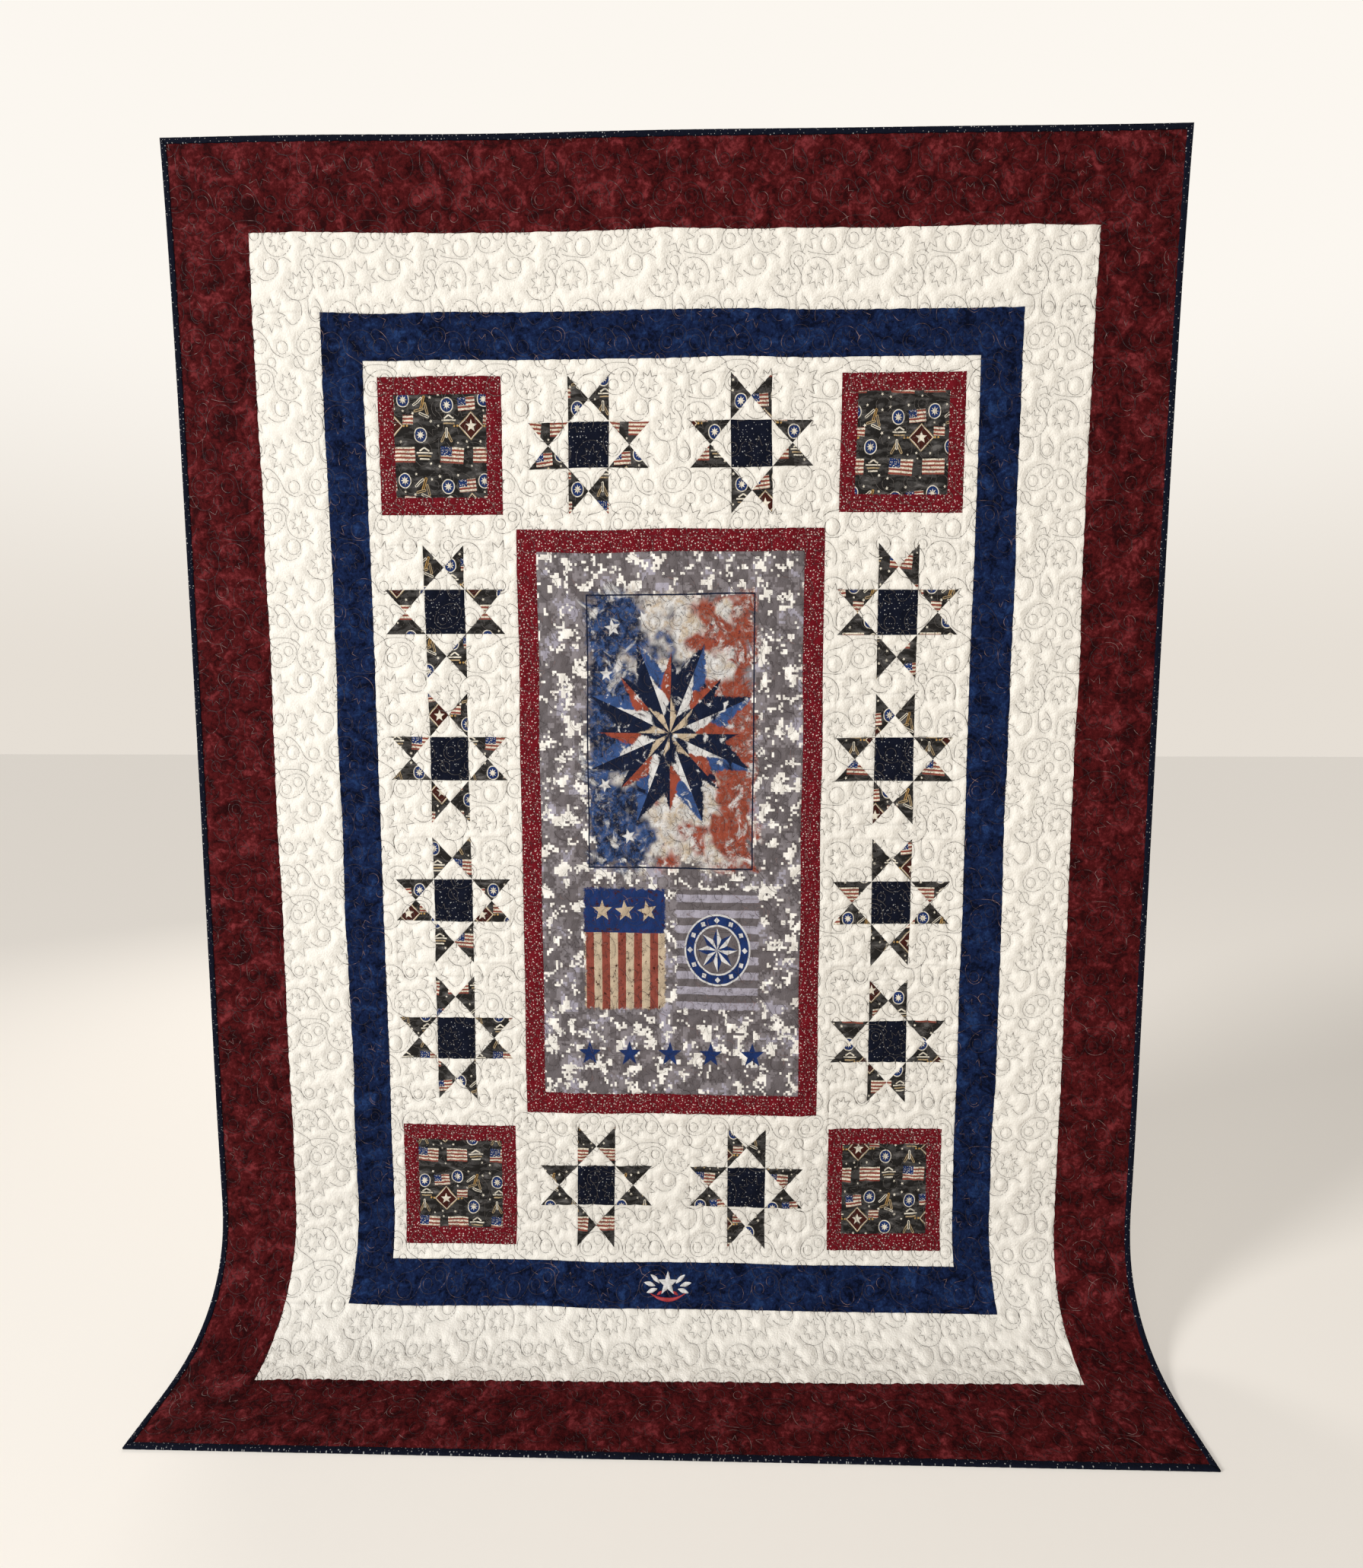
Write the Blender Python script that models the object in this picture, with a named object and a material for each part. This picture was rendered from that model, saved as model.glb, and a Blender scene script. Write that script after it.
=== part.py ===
"""A machine-quilted star quilt that hangs from its top edge, with its lower end turned forward onto the floor.

Metres, +Z up, front towards -Y. The origin is the middle of the top edge, so the quilt reaches down from z = 0.
Cloth coordinates: across runs from the middle line towards +X, down is the length of cloth below the top edge,
and lift is how far a point stands out of the cloth's middle surface, towards the front.
"""

import math

import bmesh
import bpy
from mathutils import Vector
from mathutils.geometry import delaunay_2d_cdt

# The finished quilt, laid flat
QUILT_WIDTH = 1.854
QUILT_LENGTH = 2.562

# How it hangs: straight down, then through one forward turn onto the floor
TURN_START = 2.024
TURN_LENGTH = 0.447
CENTRE_LINE_STEP = 0.002

# Soft waves of the hanging cloth: height, length of one wave across, shift, and growth from top to floor
WAVES = (
    {"height": 0.0045, "length": 0.93, "shift": 0.35, "slant": 0.10},
    {"height": 0.0030, "length": 0.61, "shift": 2.10, "slant": -0.16},
)
WAVE_AT_TOP = 0.35
WAVE_END = 0.90

# What holds the top edge draws its corners a little outwards
CORNER_PULL = 0.008
PULL_FADE = 0.26

# Depth of the sandwich of top, batting and backing
BACK_LIFT = -0.0025
PUFF_LIFT = 0.0042
STITCH_LIFT = 0.0009
RIM_LIFT = 0.0013

# Spacing of the points along the edges
STEPS_ACROSS = 30
STEPS_STRAIGHT = 32
STEPS_TURN = 13
STEPS_FLOOR = 2

# Binding folded round the edge: its width on the face, its cloth's thickness and the gap to the body
BINDING_WIDTH = 0.0115
BINDING_CLOTH = 0.0009
BINDING_ROUND = 0.0012
EDGE_FOLD = 0.0011
GAP = 0.0003

# Quilting: one repeat, and the large stitched motifs in it, placed as shares of the repeat
REPEAT_WIDTH = 0.2222
REPEAT_LENGTH = 0.2534
TALLER = 1.1
STARS = (
    {"across": 0.40, "down": 0.25, "radius": 0.0270},
    {"across": 0.03, "down": 0.53, "radius": 0.0270},
)
STAR_POINTS = 8
STAR_WAIST = 0.52
PEBBLES = ({"across": 0.66, "down": 0.42, "radius": 0.0155},)
PEBBLE_SIDES = 7
MOTIF_MARGIN = 0.008
FILL_CLEARANCE = 0.012

# Finish
CLOTH_COLOUR = (0.85, 0.82, 0.75, 1.0)
BINDING_COLOUR = (0.012, 0.014, 0.03, 1.0)
CLOTH_ROUGHNESS = 0.9


def smooth(share):
    """An S-shaped rise from 0 to 1."""
    share = min(max(share, 0.0), 1.0)
    return share * share * (3.0 - 2.0 * share)


def turn(down):
    """Angle between the cloth and the vertical, so many metres of cloth below the top edge."""
    return 0.5 * math.pi * smooth((down - TURN_START) / TURN_LENGTH)


def make_centre_line():
    """Points (y, z) of the hanging cloth's side view, one for each step of cloth from the top edge."""
    points = [(0.0, 0.0)]
    for step in range(math.ceil(QUILT_LENGTH / CENTRE_LINE_STEP) + 1):
        angle = turn((step + 0.5) * CENTRE_LINE_STEP)
        y, z = points[-1]
        points.append((y - CENTRE_LINE_STEP * math.sin(angle), z - CENTRE_LINE_STEP * math.cos(angle)))
    return points


centre_line = make_centre_line()


def wave(across, down):
    """How far the hanging cloth swings out of its middle plane; nothing where it lies on the floor."""
    growth = WAVE_AT_TOP + (1.0 - WAVE_AT_TOP) * smooth(down / TURN_START)
    fade = 1.0 - smooth((down / TURN_START - WAVE_END) / (1.0 - WAVE_END + TURN_LENGTH / TURN_START))
    swing = 0.0
    for row in WAVES:
        along = across + row["slant"] * down
        swing += row["height"] * math.sin(2.0 * math.pi * along / row["length"] + row["shift"])
    return swing * growth * fade


def place(across, down, lift):
    """The point in space of a point of the cloth."""
    steps = down / CENTRE_LINE_STEP
    low = min(int(steps), len(centre_line) - 2)
    part = steps - low
    y = centre_line[low][0] * (1.0 - part) + centre_line[low + 1][0] * part
    z = centre_line[low][1] * (1.0 - part) + centre_line[low + 1][1] * part
    angle = turn(down)
    out = wave(across, down) + lift
    drawn = across * (1.0 + CORNER_PULL / (QUILT_WIDTH / 2) * math.exp(-down / PULL_FADE))
    return Vector((drawn, y - out * math.cos(angle), z + out * math.sin(angle)))


def evenly(start, end, steps):
    """The points after start, up to and with end."""
    return [start + (end - start) * (step + 1) / steps for step in range(steps)]


stations_across = evenly(-QUILT_WIDTH / 2, QUILT_WIDTH / 2, STEPS_ACROSS)[:-1]
stations_down = (
    evenly(0.0, TURN_START, STEPS_STRAIGHT)
    + evenly(TURN_START, TURN_START + TURN_LENGTH, STEPS_TURN)
    + evenly(TURN_START + TURN_LENGTH, QUILT_LENGTH, STEPS_FLOOR)[:-1]
)


def ring(inset):
    """The rectangle that lies inset from the quilt's edge, with a point at each station."""
    right = QUILT_WIDTH / 2 - inset
    bottom = QUILT_LENGTH - inset
    top_row = [(across, inset) for across in [-right, *stations_across, right]]
    right_side = [(right, down) for down in stations_down]
    bottom_row = [(across, bottom) for across in [right, *reversed(stations_across), -right]]
    left_side = [(-right, down) for down in reversed(stations_down)]
    return top_row + right_side + bottom_row + left_side


def star_outline(radius):
    """Points of a star that stands on its waist, about its own middle."""
    corners = []
    for corner in range(2 * STAR_POINTS):
        angle = math.pi * corner / STAR_POINTS
        reach = radius if corner % 2 == 0 else radius * STAR_WAIST
        corners.append((reach * math.sin(angle), reach * TALLER * math.cos(angle)))
    return corners


def pebble_outline(radius):
    """Points of a stitched round pebble, about its own middle."""
    turns = [2.0 * math.pi * side / PEBBLE_SIDES for side in range(PEBBLE_SIDES)]
    return [(radius * math.sin(angle), radius * TALLER * math.cos(angle)) for angle in turns]


def motifs():
    """Middle, radius and outline of each stitched motif that fits wholly inside the binding."""
    found = []
    kinds = [(motif, star_outline) for motif in STARS] + [(motif, pebble_outline) for motif in PEBBLES]
    keep_off = BINDING_WIDTH + MOTIF_MARGIN
    columns = math.ceil(QUILT_WIDTH / REPEAT_WIDTH)
    rows = math.ceil(QUILT_LENGTH / REPEAT_LENGTH)
    for row in range(rows):
        for column in range(columns):
            for motif, outline in kinds:
                across = (column + motif["across"]) * REPEAT_WIDTH - QUILT_WIDTH / 2
                down = (row + motif["down"]) * REPEAT_LENGTH
                reach = motif["radius"] * TALLER + keep_off
                inside_across = abs(across) < QUILT_WIDTH / 2 - reach
                if inside_across and reach < down < QUILT_LENGTH - reach:
                    found.append((across, down, motif["radius"], outline(motif["radius"])))
    return found


class Face:
    """Points and fixed edges of one side of the quilt, in cloth coordinates."""

    def __init__(self):
        self.points = []
        self.lifts = []
        self.edges = []

    def add_point(self, across, down, lift):
        self.points.append(Vector((across, down)))
        self.lifts.append(lift)

    def add_loop(self, corners, lift):
        first = len(self.points)
        for across, down in corners:
            self.add_point(across, down, lift)
        last = len(self.points) - 1
        self.edges += [(point, point + 1) for point in range(first, last)] + [(last, first)]

    def triangles(self):
        """The points in space and the triangles between them."""
        flat, _, faces, sources, _, _ = delaunay_2d_cdt(self.points, self.edges, [], 0, 1e-6)
        lifts = [self.lifts[source[0]] for source in sources]
        return [place(point.x, point.y, lift) for point, lift in zip(flat, lifts)], faces, sources


def front_face():
    """The quilted face: its rim under the binding, the stitched motifs and the puffs between them."""
    face = Face()
    rim = ring(EDGE_FOLD + GAP)
    face.add_loop(rim, RIM_LIFT)
    face.add_loop(ring(BINDING_WIDTH + GAP), RIM_LIFT)
    stitched = motifs()
    for across, down, radius, outline in stitched:
        face.add_loop([(across + x, down + y) for x, y in outline], STITCH_LIFT)
        face.add_point(across, down, PUFF_LIFT)
    for down in stations_down:
        for across in stations_across:
            clear = all(
                math.hypot(across - x, down - y) > radius * TALLER + FILL_CLEARANCE
                for x, y, radius, _ in stitched
            )
            if clear and QUILT_WIDTH / 2 - abs(across) > 2 * BINDING_WIDTH:
                face.add_point(across, down, PUFF_LIFT)
    return face, len(rim)


def back_face():
    """The backing: the same rim, and points at every second station."""
    face = Face()
    rim = ring(EDGE_FOLD + GAP)
    face.add_loop(rim, -RIM_LIFT)
    face.add_loop(ring(BINDING_WIDTH + GAP), -RIM_LIFT)
    face.add_loop(ring(2 * BINDING_WIDTH), BACK_LIFT)
    for row, down in enumerate(stations_down):
        if row % 2 and down < TURN_START:
            continue
        for across in stations_across[1::2]:
            face.add_point(across, down, BACK_LIFT)
    return face, len(rim)


def cloth_material(name, colour):
    material = bpy.data.materials.new(name)
    material.use_nodes = True
    shader = material.node_tree.nodes["Principled BSDF"]
    shader.inputs["Base Color"].default_value = colour
    shader.inputs["Roughness"].default_value = CLOTH_ROUGHNESS
    return material


def add_object(name, mesh_builder, material):
    """An object whose closed mesh has its faces pointing out."""
    bmesh.ops.recalc_face_normals(mesh_builder, faces=mesh_builder.faces)
    if mesh_builder.calc_volume(signed=True) < 0.0:
        bmesh.ops.reverse_faces(mesh_builder, faces=mesh_builder.faces)
    mesh = bpy.data.meshes.new(name)
    mesh_builder.to_mesh(mesh)
    mesh_builder.free()
    mesh.materials.append(material)
    mesh.shade_smooth()
    made = bpy.data.objects.new(name, mesh)
    bpy.context.scene.collection.objects.link(made)
    return made


def quilted_body(material):
    """Top, batting and backing sewn through, as one solid: two faces joined along their rim."""
    builder = bmesh.new()
    rims = []
    for face, rim_size in (front_face(), back_face()):
        points, triangles, sources = face.triangles()
        corners = [builder.verts.new(point) for point in points]
        for triangle in triangles:
            builder.faces.new([corners[index] for index in triangle])
        by_source = {source[0]: corner for source, corner in zip(sources, corners)}
        rims.append([by_source[index] for index in range(rim_size)])
    front, back = rims
    for index in range(len(front)):
        after = (index + 1) % len(front)
        builder.faces.new((front[index], front[after], back[after], back[index]))
    return add_object("quilted_body", builder, material)


def binding_section():
    """The folded binding cut across: (inset from the edge, lift), round the outside and back inside."""
    inner = RIM_LIFT + GAP
    outer = inner + BINDING_CLOTH
    lip = BINDING_WIDTH
    front = [(lip, inner), (lip, outer - BINDING_ROUND / 2), (lip - BINDING_ROUND, outer), (BINDING_ROUND, outer)]
    edge = [(0.0, outer - BINDING_ROUND), (0.0, BINDING_ROUND - outer)]
    back = [(inset, -lift) for inset, lift in reversed(front)]
    channel = [(EDGE_FOLD, -inner), (EDGE_FOLD, inner)]
    return front + edge + back + channel


def binding_strip(name, stations, length, cloth_point, material):
    """One side's binding, folded over the edge and mitred at both corners.

    cloth_point turns a distance along the side and an inset from the edge into cloth coordinates.
    """
    builder = bmesh.new()
    section = binding_section()
    rings = []
    for station in [None, *stations, None]:
        corners = []
        for inset, lift in section:
            mitre = inset + GAP / 2
            along = station
            if station is None:
                along = mitre if not rings else length - mitre
            across, down = cloth_point(along, inset)
            corners.append(builder.verts.new(place(across, down, lift)))
        rings.append(corners)
    count = len(section)
    for before, after in zip(rings, rings[1:]):
        for index in range(count):
            following = (index + 1) % count
            builder.faces.new((before[index], before[following], after[following], after[index]))
    builder.faces.new(rings[0])
    builder.faces.new(rings[-1])
    return add_object(name, builder, material)


for old in list(bpy.data.objects):
    bpy.data.objects.remove(old)

cloth = cloth_material("quilted_cloth", CLOTH_COLOUR)
edging = cloth_material("binding_cloth", BINDING_COLOUR)
half = QUILT_WIDTH / 2
from_left = [across + half for across in stations_across]

quilted_body(cloth)
binding_strip("binding_top", from_left, QUILT_WIDTH, lambda along, inset: (along - half, inset), edging)
binding_strip(
    "binding_bottom", from_left, QUILT_WIDTH, lambda along, inset: (along - half, QUILT_LENGTH - inset), edging
)
binding_strip("binding_left", stations_down, QUILT_LENGTH, lambda along, inset: (inset - half, along), edging)
binding_strip("binding_right", stations_down, QUILT_LENGTH, lambda along, inset: (half - inset, along), edging)
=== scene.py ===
"""The looks of a machine-quilted star quilt that hangs by its top edge, with its lower end on the floor."""

import math

import bmesh
import bpy
import numpy as np
from mathutils import Matrix, Vector


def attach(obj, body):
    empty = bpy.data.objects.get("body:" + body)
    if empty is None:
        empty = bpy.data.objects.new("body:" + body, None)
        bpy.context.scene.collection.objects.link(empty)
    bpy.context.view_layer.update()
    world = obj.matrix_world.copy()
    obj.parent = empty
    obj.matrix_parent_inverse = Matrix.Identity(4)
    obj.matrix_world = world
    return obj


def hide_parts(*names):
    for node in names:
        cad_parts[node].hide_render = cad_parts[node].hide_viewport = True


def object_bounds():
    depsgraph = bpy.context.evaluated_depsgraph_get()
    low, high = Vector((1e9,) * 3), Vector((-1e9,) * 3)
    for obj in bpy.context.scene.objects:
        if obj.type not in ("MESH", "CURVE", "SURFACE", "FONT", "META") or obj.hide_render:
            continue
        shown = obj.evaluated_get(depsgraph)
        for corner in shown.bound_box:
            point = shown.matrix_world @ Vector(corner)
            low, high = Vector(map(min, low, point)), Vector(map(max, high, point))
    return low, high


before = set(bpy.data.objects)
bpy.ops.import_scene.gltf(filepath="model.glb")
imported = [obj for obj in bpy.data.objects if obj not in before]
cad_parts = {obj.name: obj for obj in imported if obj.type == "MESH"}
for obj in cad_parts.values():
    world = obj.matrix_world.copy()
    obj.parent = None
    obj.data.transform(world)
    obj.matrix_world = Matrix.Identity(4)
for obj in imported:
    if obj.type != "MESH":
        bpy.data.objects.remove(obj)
cad_low, cad_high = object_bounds()

# The backing
# One sheet of cream cotton lies under the batting, and the quilting stitches draw dimples into it.
# Held along its top edge it hangs straight, turns forward near the floor and ends lying on it.
# Across runs from the middle line towards +X, down is cloth below the top edge, lift stands out in front.
QUILT_WIDTH = 1.854
QUILT_LENGTH = 2.562
TURN_START = 2.024
TURN_LENGTH = 0.447
CENTRE_LINE_STEP = 0.002


def table(columns, *rows):
    """The rows of a short table, each with its columns' names."""
    return [dict(zip(columns.split(), row)) for row in rows]


WAVES = table(
    "height length shift slant",
    (0.0045, 0.93, 0.35, 0.10),
    (0.0030, 0.61, 2.10, -0.16),
)
WAVE_AT_TOP = 0.35
WAVE_END = 0.90
CORNER_PULL = 0.008
PULL_FADE = 0.26


def smooth(share):
    """An S-shaped rise from 0 to 1."""
    share = np.clip(share, 0.0, 1.0)
    return share * share * (3.0 - 2.0 * share)


def turn(down):
    """Angle between the cloth and the vertical."""
    return 0.5 * math.pi * smooth((down - TURN_START) / TURN_LENGTH)


line_down = np.arange(0.0, QUILT_LENGTH + 2 * CENTRE_LINE_STEP, CENTRE_LINE_STEP)
line_angle = turn(line_down[:-1] + CENTRE_LINE_STEP / 2)
line_y = np.concatenate([[0.0], -np.cumsum(np.sin(line_angle))]) * CENTRE_LINE_STEP
line_z = np.concatenate([[0.0], -np.cumsum(np.cos(line_angle))]) * CENTRE_LINE_STEP


def wave(across, down):
    """How far the hanging cloth swings out of its middle plane."""
    growth = WAVE_AT_TOP + (1.0 - WAVE_AT_TOP) * smooth(down / TURN_START)
    fade = 1.0 - smooth((down / TURN_START - WAVE_END) / (1.0 - WAVE_END + TURN_LENGTH / TURN_START))
    swing = 0.0
    for row in WAVES:
        along = across + row["slant"] * down
        swing = swing + row["height"] * np.sin(2.0 * math.pi * along / row["length"] + row["shift"])
    return swing * growth * fade


def place(across, down, lift):
    """Points in space of points of the cloth, one row each."""
    angle = turn(down)
    out = wave(across, down) + lift
    drawn = across * (1.0 + CORNER_PULL / (QUILT_WIDTH / 2) * np.exp(-down / PULL_FADE))
    y = np.interp(down, line_down, line_y) - out * np.cos(angle)
    z = np.interp(down, line_down, line_z) + out * np.sin(angle)
    return np.stack([drawn, y, z], axis=-1)


# Stitched through all three layers: rows of stars, pebbles, ovals and loops, one repeat in inches below.
INCH = 0.0254
LENGTHWISE = 1.1083
REPEAT_ACROSS = 53 / 6
REPEAT_DOWN = 9.0
ROWS_FROM_TOP = -4.0
ROW_COUNT = 11
ROW_SHIFT = 1 / 3
STITCH_RUN = 0.30
STAR_TIPS = 8
STAR_WAIST = 0.52
STITCHED_STARS = table(
    "across down radius turn",
    (1.55, 1.45, 1.08, 6),
    (5.05, 3.75, 1.08, 14),
    (7.05, 6.15, 1.08, 0),
    (7.75, 1.45, 0.74, 11),
    (2.55, 3.95, 0.76, 6),
    (0.30, 4.15, 0.74, 17),
    (3.55, 6.35, 0.76, 9),
    (4.75, 8.05, 0.72, 20),
)
STITCHED_ROUNDS = table(
    "across down wide tall turn",
    (3.35, 1.95, 0.58, 0.58, 0),
    (5.15, 1.62, 0.36, 0.36, 0),
    (6.05, 1.12, 0.34, 0.34, 0),
    (7.15, 3.05, 0.52, 0.52, 0),
    (1.20, 3.02, 0.34, 0.34, 0),
    (5.10, 5.75, 0.36, 0.36, 0),
    (6.10, 8.05, 0.50, 0.50, 0),
    (0.62, 8.02, 0.36, 0.36, 0),
    (1.50, 7.50, 0.33, 0.33, 0),
    (2.75, 8.05, 0.46, 0.46, 0),
    (7.75, 8.15, 0.42, 0.42, 0),
    (1.55, 6.05, 0.40, 0.40, 0),
    (2.00, 8.98, 0.36, 0.36, 0),
    (3.28, 9.02, 0.31, 0.31, 0),
    (6.92, 9.12, 0.33, 0.33, 0),
    (0.12, 9.05, 0.38, 0.38, 0),
    (5.62, 1.40, 1.12, 0.78, -28),
    (1.05, 7.78, 1.10, 0.74, -30),
)
STITCHED_ARCS = table(
    "across down radius start sweep",
    (2.55, 3.95, 1.16, 150, 235),
    (0.30, 4.15, 1.12, -60, 215),
    (3.55, 6.35, 1.14, -200, 190),
    (4.75, 8.05, 1.02, 160, 190),
    (7.75, 1.45, 1.05, 20, 200),
    (1.20, 3.02, 0.62, 120, 200),
)
STITCHED_LOOPS = (
    (
        (2.62, 1.30), (3.05, 0.98), (3.70, 0.86), (4.20, 0.62),
        (4.75, 0.30), (5.60, 0.22), (6.50, 0.34), (6.98, 0.78),
    ),
    ((4.55, 1.72), (4.30, 2.25), (3.80, 2.62), (3.05, 2.62), (2.35, 2.55), (1.85, 2.42)),
    ((6.12, 3.62), (6.62, 3.92), (7.25, 3.86), (7.72, 3.40), (7.70, 2.75), (8.20, 2.55), (8.70, 2.85)),
    (
        (1.30, 4.62), (1.05, 5.05), (1.02, 5.60), (1.10, 6.30),
        (1.55, 6.62), (2.00, 6.30), (1.95, 5.70), (1.60, 5.20),
    ),
    ((4.65, 4.78), (4.42, 5.20), (4.62, 5.95), (5.10, 6.30), (5.62, 6.02), (5.75, 5.55), (6.05, 5.35)),
    ((8.12, 6.35), (8.55, 6.75), (9.00, 6.62), (9.35, 6.10), (9.30, 5.50), (8.95, 5.20), (8.45, 5.22)),
    ((2.10, 7.35), (2.70, 7.20), (3.20, 7.45), (3.45, 7.85), (3.60, 8.45), (4.10, 8.78)),
    (
        (5.75, 7.70), (5.45, 7.30), (5.75, 6.95), (6.30, 7.25),
        (6.70, 7.75), (7.10, 8.45), (7.85, 8.78), (8.50, 8.55),
    ),
    ((8.50, 8.55), (8.82, 8.80), (9.00, 9.20), (9.40, 9.55), (10.00, 9.60), (10.42, 9.30), (10.50, 8.90)),
    ((4.10, 8.78), (4.50, 9.00), (4.92, 9.30), (5.10, 9.75), (5.60, 9.98)),
)


def star_line(row):
    """A closed star outline."""
    line = []
    for corner in range(2 * STAR_TIPS + 1):
        reach = row["radius"] * (1.0 if corner % 2 == 0 else STAR_WAIST)
        angle = math.pi * corner / STAR_TIPS + math.radians(row["turn"])
        line.append((row["across"] + reach * math.sin(angle), row["down"] - reach * math.cos(angle)))
    return line


def round_line(row):
    """A closed ring or oval."""
    sides = max(12, round(2 * math.pi * row["wide"] / STITCH_RUN))
    lean = math.radians(row["turn"])
    line = []
    for side in range(sides + 1):
        angle = 2.0 * math.pi * side / sides
        wide = row["wide"] * math.cos(angle)
        tall = row["tall"] * math.sin(angle)
        across = row["across"] + wide * math.cos(lean) - tall * math.sin(lean)
        down = row["down"] + wide * math.sin(lean) + tall * math.cos(lean)
        line.append((across, down))
    return line


def arc_line(row):
    """An open arc round a star or a pebble."""
    steps = round(math.radians(row["sweep"]) * row["radius"] / STITCH_RUN)
    line = []
    for step in range(steps + 1):
        angle = math.radians(row["start"] + row["sweep"] * step / steps)
        across = row["across"] + row["radius"] * math.cos(angle)
        line.append((across, row["down"] + row["radius"] * math.sin(angle)))
    return line


def loop_line(spots):
    """A smooth line through given spots."""
    ends = [Vector(spots[0]), *map(Vector, spots), Vector(spots[-1])]
    line = []
    for before, start, end, after in zip(ends, ends[1:], ends[2:], ends[3:]):
        steps = max(2, round((end - start).length / STITCH_RUN))
        for step in range(steps):
            part = step / steps
            point = 2 * start + (end - before) * part
            point += (2 * before - 5 * start + 4 * end - after) * part**2
            point += (3 * start - before - 3 * end + after) * part**3
            line.append(tuple(0.5 * point))
    return [*line, tuple(spots[-1])]


stitch_lines = [star_line(row) for row in STITCHED_STARS]
stitch_lines += [round_line(row) for row in STITCHED_ROUNDS]
stitch_lines += [arc_line(row) for row in STITCHED_ARCS]
stitch_lines += [loop_line(spots) for spots in STITCHED_LOOPS]

# The cloth is worked on a net of cells, six to the inch, and every seam of the quilt falls on the net.
CELLS_PER_INCH = 6
CELL_ACROSS = INCH / CELLS_PER_INCH
CELL_DOWN = CELL_ACROSS * LENGTHWISE
HALF_CELLS = 219
LENGTH_CELLS = 546
REPEAT_CELLS_ACROSS = round(REPEAT_ACROSS * CELLS_PER_INCH)
REPEAT_CELLS_DOWN = round(REPEAT_DOWN * CELLS_PER_INCH)
ROW_MARGIN_CELLS = 8
FAR_FROM_STITCHES = 0.05


def distance_to_stitches():
    """Metres from each point of the net to the nearest stitched line."""
    scale = np.array([INCH, INCH * LENGTHWISE])
    starts = np.concatenate([np.array(line[:-1]) for line in stitch_lines])
    ends = np.concatenate([np.array(line[1:]) for line in stitch_lines])
    starts = np.concatenate([starts + [side * REPEAT_ACROSS, 0.0] for side in (-1, 0, 1)]) * scale
    ends = np.concatenate([ends + [side * REPEAT_ACROSS, 0.0] for side in (-1, 0, 1)]) * scale
    runs = ends - starts
    columns = np.arange(REPEAT_CELLS_ACROSS) * CELL_ACROSS
    rows = np.arange(-ROW_MARGIN_CELLS, REPEAT_CELLS_DOWN + ROW_MARGIN_CELLS) * CELL_DOWN
    strip = np.empty((len(rows), len(columns)))
    for index, down in enumerate(rows):
        offset = np.stack([columns, np.full(len(columns), down)], axis=1)[:, None, :] - starts[None]
        part = np.clip((offset * runs).sum(2) / (runs * runs).sum(1), 0.0, 1.0)
        strip[index] = np.linalg.norm(offset - part[..., None] * runs, axis=2).min(1)
    net = np.full((LENGTH_CELLS + 1, 2 * HALF_CELLS + 1), FAR_FROM_STITCHES)
    for row in range(ROW_COUNT):
        first = round(ROWS_FROM_TOP * CELLS_PER_INCH) + row * REPEAT_CELLS_DOWN - ROW_MARGIN_CELLS
        shift = round(row * ROW_SHIFT * CELLS_PER_INCH)
        source_columns = (np.arange(2 * HALF_CELLS + 1) - shift) % REPEAT_CELLS_ACROSS
        low = max(first, 0)
        high = min(first + len(rows), LENGTH_CELLS + 1)
        if low < high:
            net[low:high] = np.minimum(net[low:high], strip[low - first : high - first, source_columns])
    return net


def rumple(cells_apart, seed):
    """Soft unevenness of cloth, as a smooth random net between -1 and 1."""
    draws = np.random.default_rng(seed)
    rows = LENGTH_CELLS // cells_apart + 3
    columns = 2 * HALF_CELLS // cells_apart + 3
    coarse = draws.uniform(-1.0, 1.0, (rows, columns))
    net = coarse
    for axis, count in ((0, LENGTH_CELLS + 1), (1, 2 * HALF_CELLS + 1)):
        at = np.arange(count) / cells_apart
        low = at.astype(int)
        part = smooth(at - low)
        part = part[:, None] if axis == 0 else part[None, :]
        net = np.take(net, low, axis) * (1.0 - part) + np.take(net, low + 1, axis) * part
    return net


STITCH_LIFT = 0.0010
PUFF_LIFT = 0.0044
PUFF_REACH = 0.0066
RIM_LIFT = 0.0013
RIM_WIDTH = 0.012
RIM_FADE = 0.014
EDGE_INSET = 0.0025
FINE_RUMPLE = 0.00022
SOFT_RUMPLE = 0.00035
SEAM_DRIFT = 0.0022
LOW_SEAM_RISE = 0.013
LOW_SEAM = 2.395
LOW_SEAM_FADE = 0.13
DRIFT_FADE = 0.06

net_column, net_row = np.meshgrid(np.arange(-HALF_CELLS, HALF_CELLS + 1), np.arange(LENGTH_CELLS + 1))
net_across = net_column * CELL_ACROSS
net_down = net_row * CELL_DOWN
from_side = QUILT_WIDTH / 2 - np.abs(net_across)
from_end = np.minimum(net_down, QUILT_LENGTH - net_down)
from_edge = np.minimum(from_side, from_end)
inside_rim = smooth((from_edge - RIM_WIDTH) / RIM_FADE)

# The seams wander a little, and the lowest one rises towards the right.
held_back = smooth(from_edge / DRIFT_FADE)
low_seam_rise = LOW_SEAM_RISE * smooth(1.0 - np.abs(net_down - LOW_SEAM) / LOW_SEAM_FADE)
cloth_across = net_across + SEAM_DRIFT * rumple(34, seed=11) * held_back
cloth_down = net_down + SEAM_DRIFT * rumple(31, seed=12) * held_back
cloth_down -= low_seam_rise * (net_across / (QUILT_WIDTH / 2)) * held_back
cloth_across = np.clip(cloth_across, EDGE_INSET - QUILT_WIDTH / 2, QUILT_WIDTH / 2 - EDGE_INSET)
cloth_down = np.clip(cloth_down, EDGE_INSET, QUILT_LENGTH - EDGE_INSET)

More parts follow.
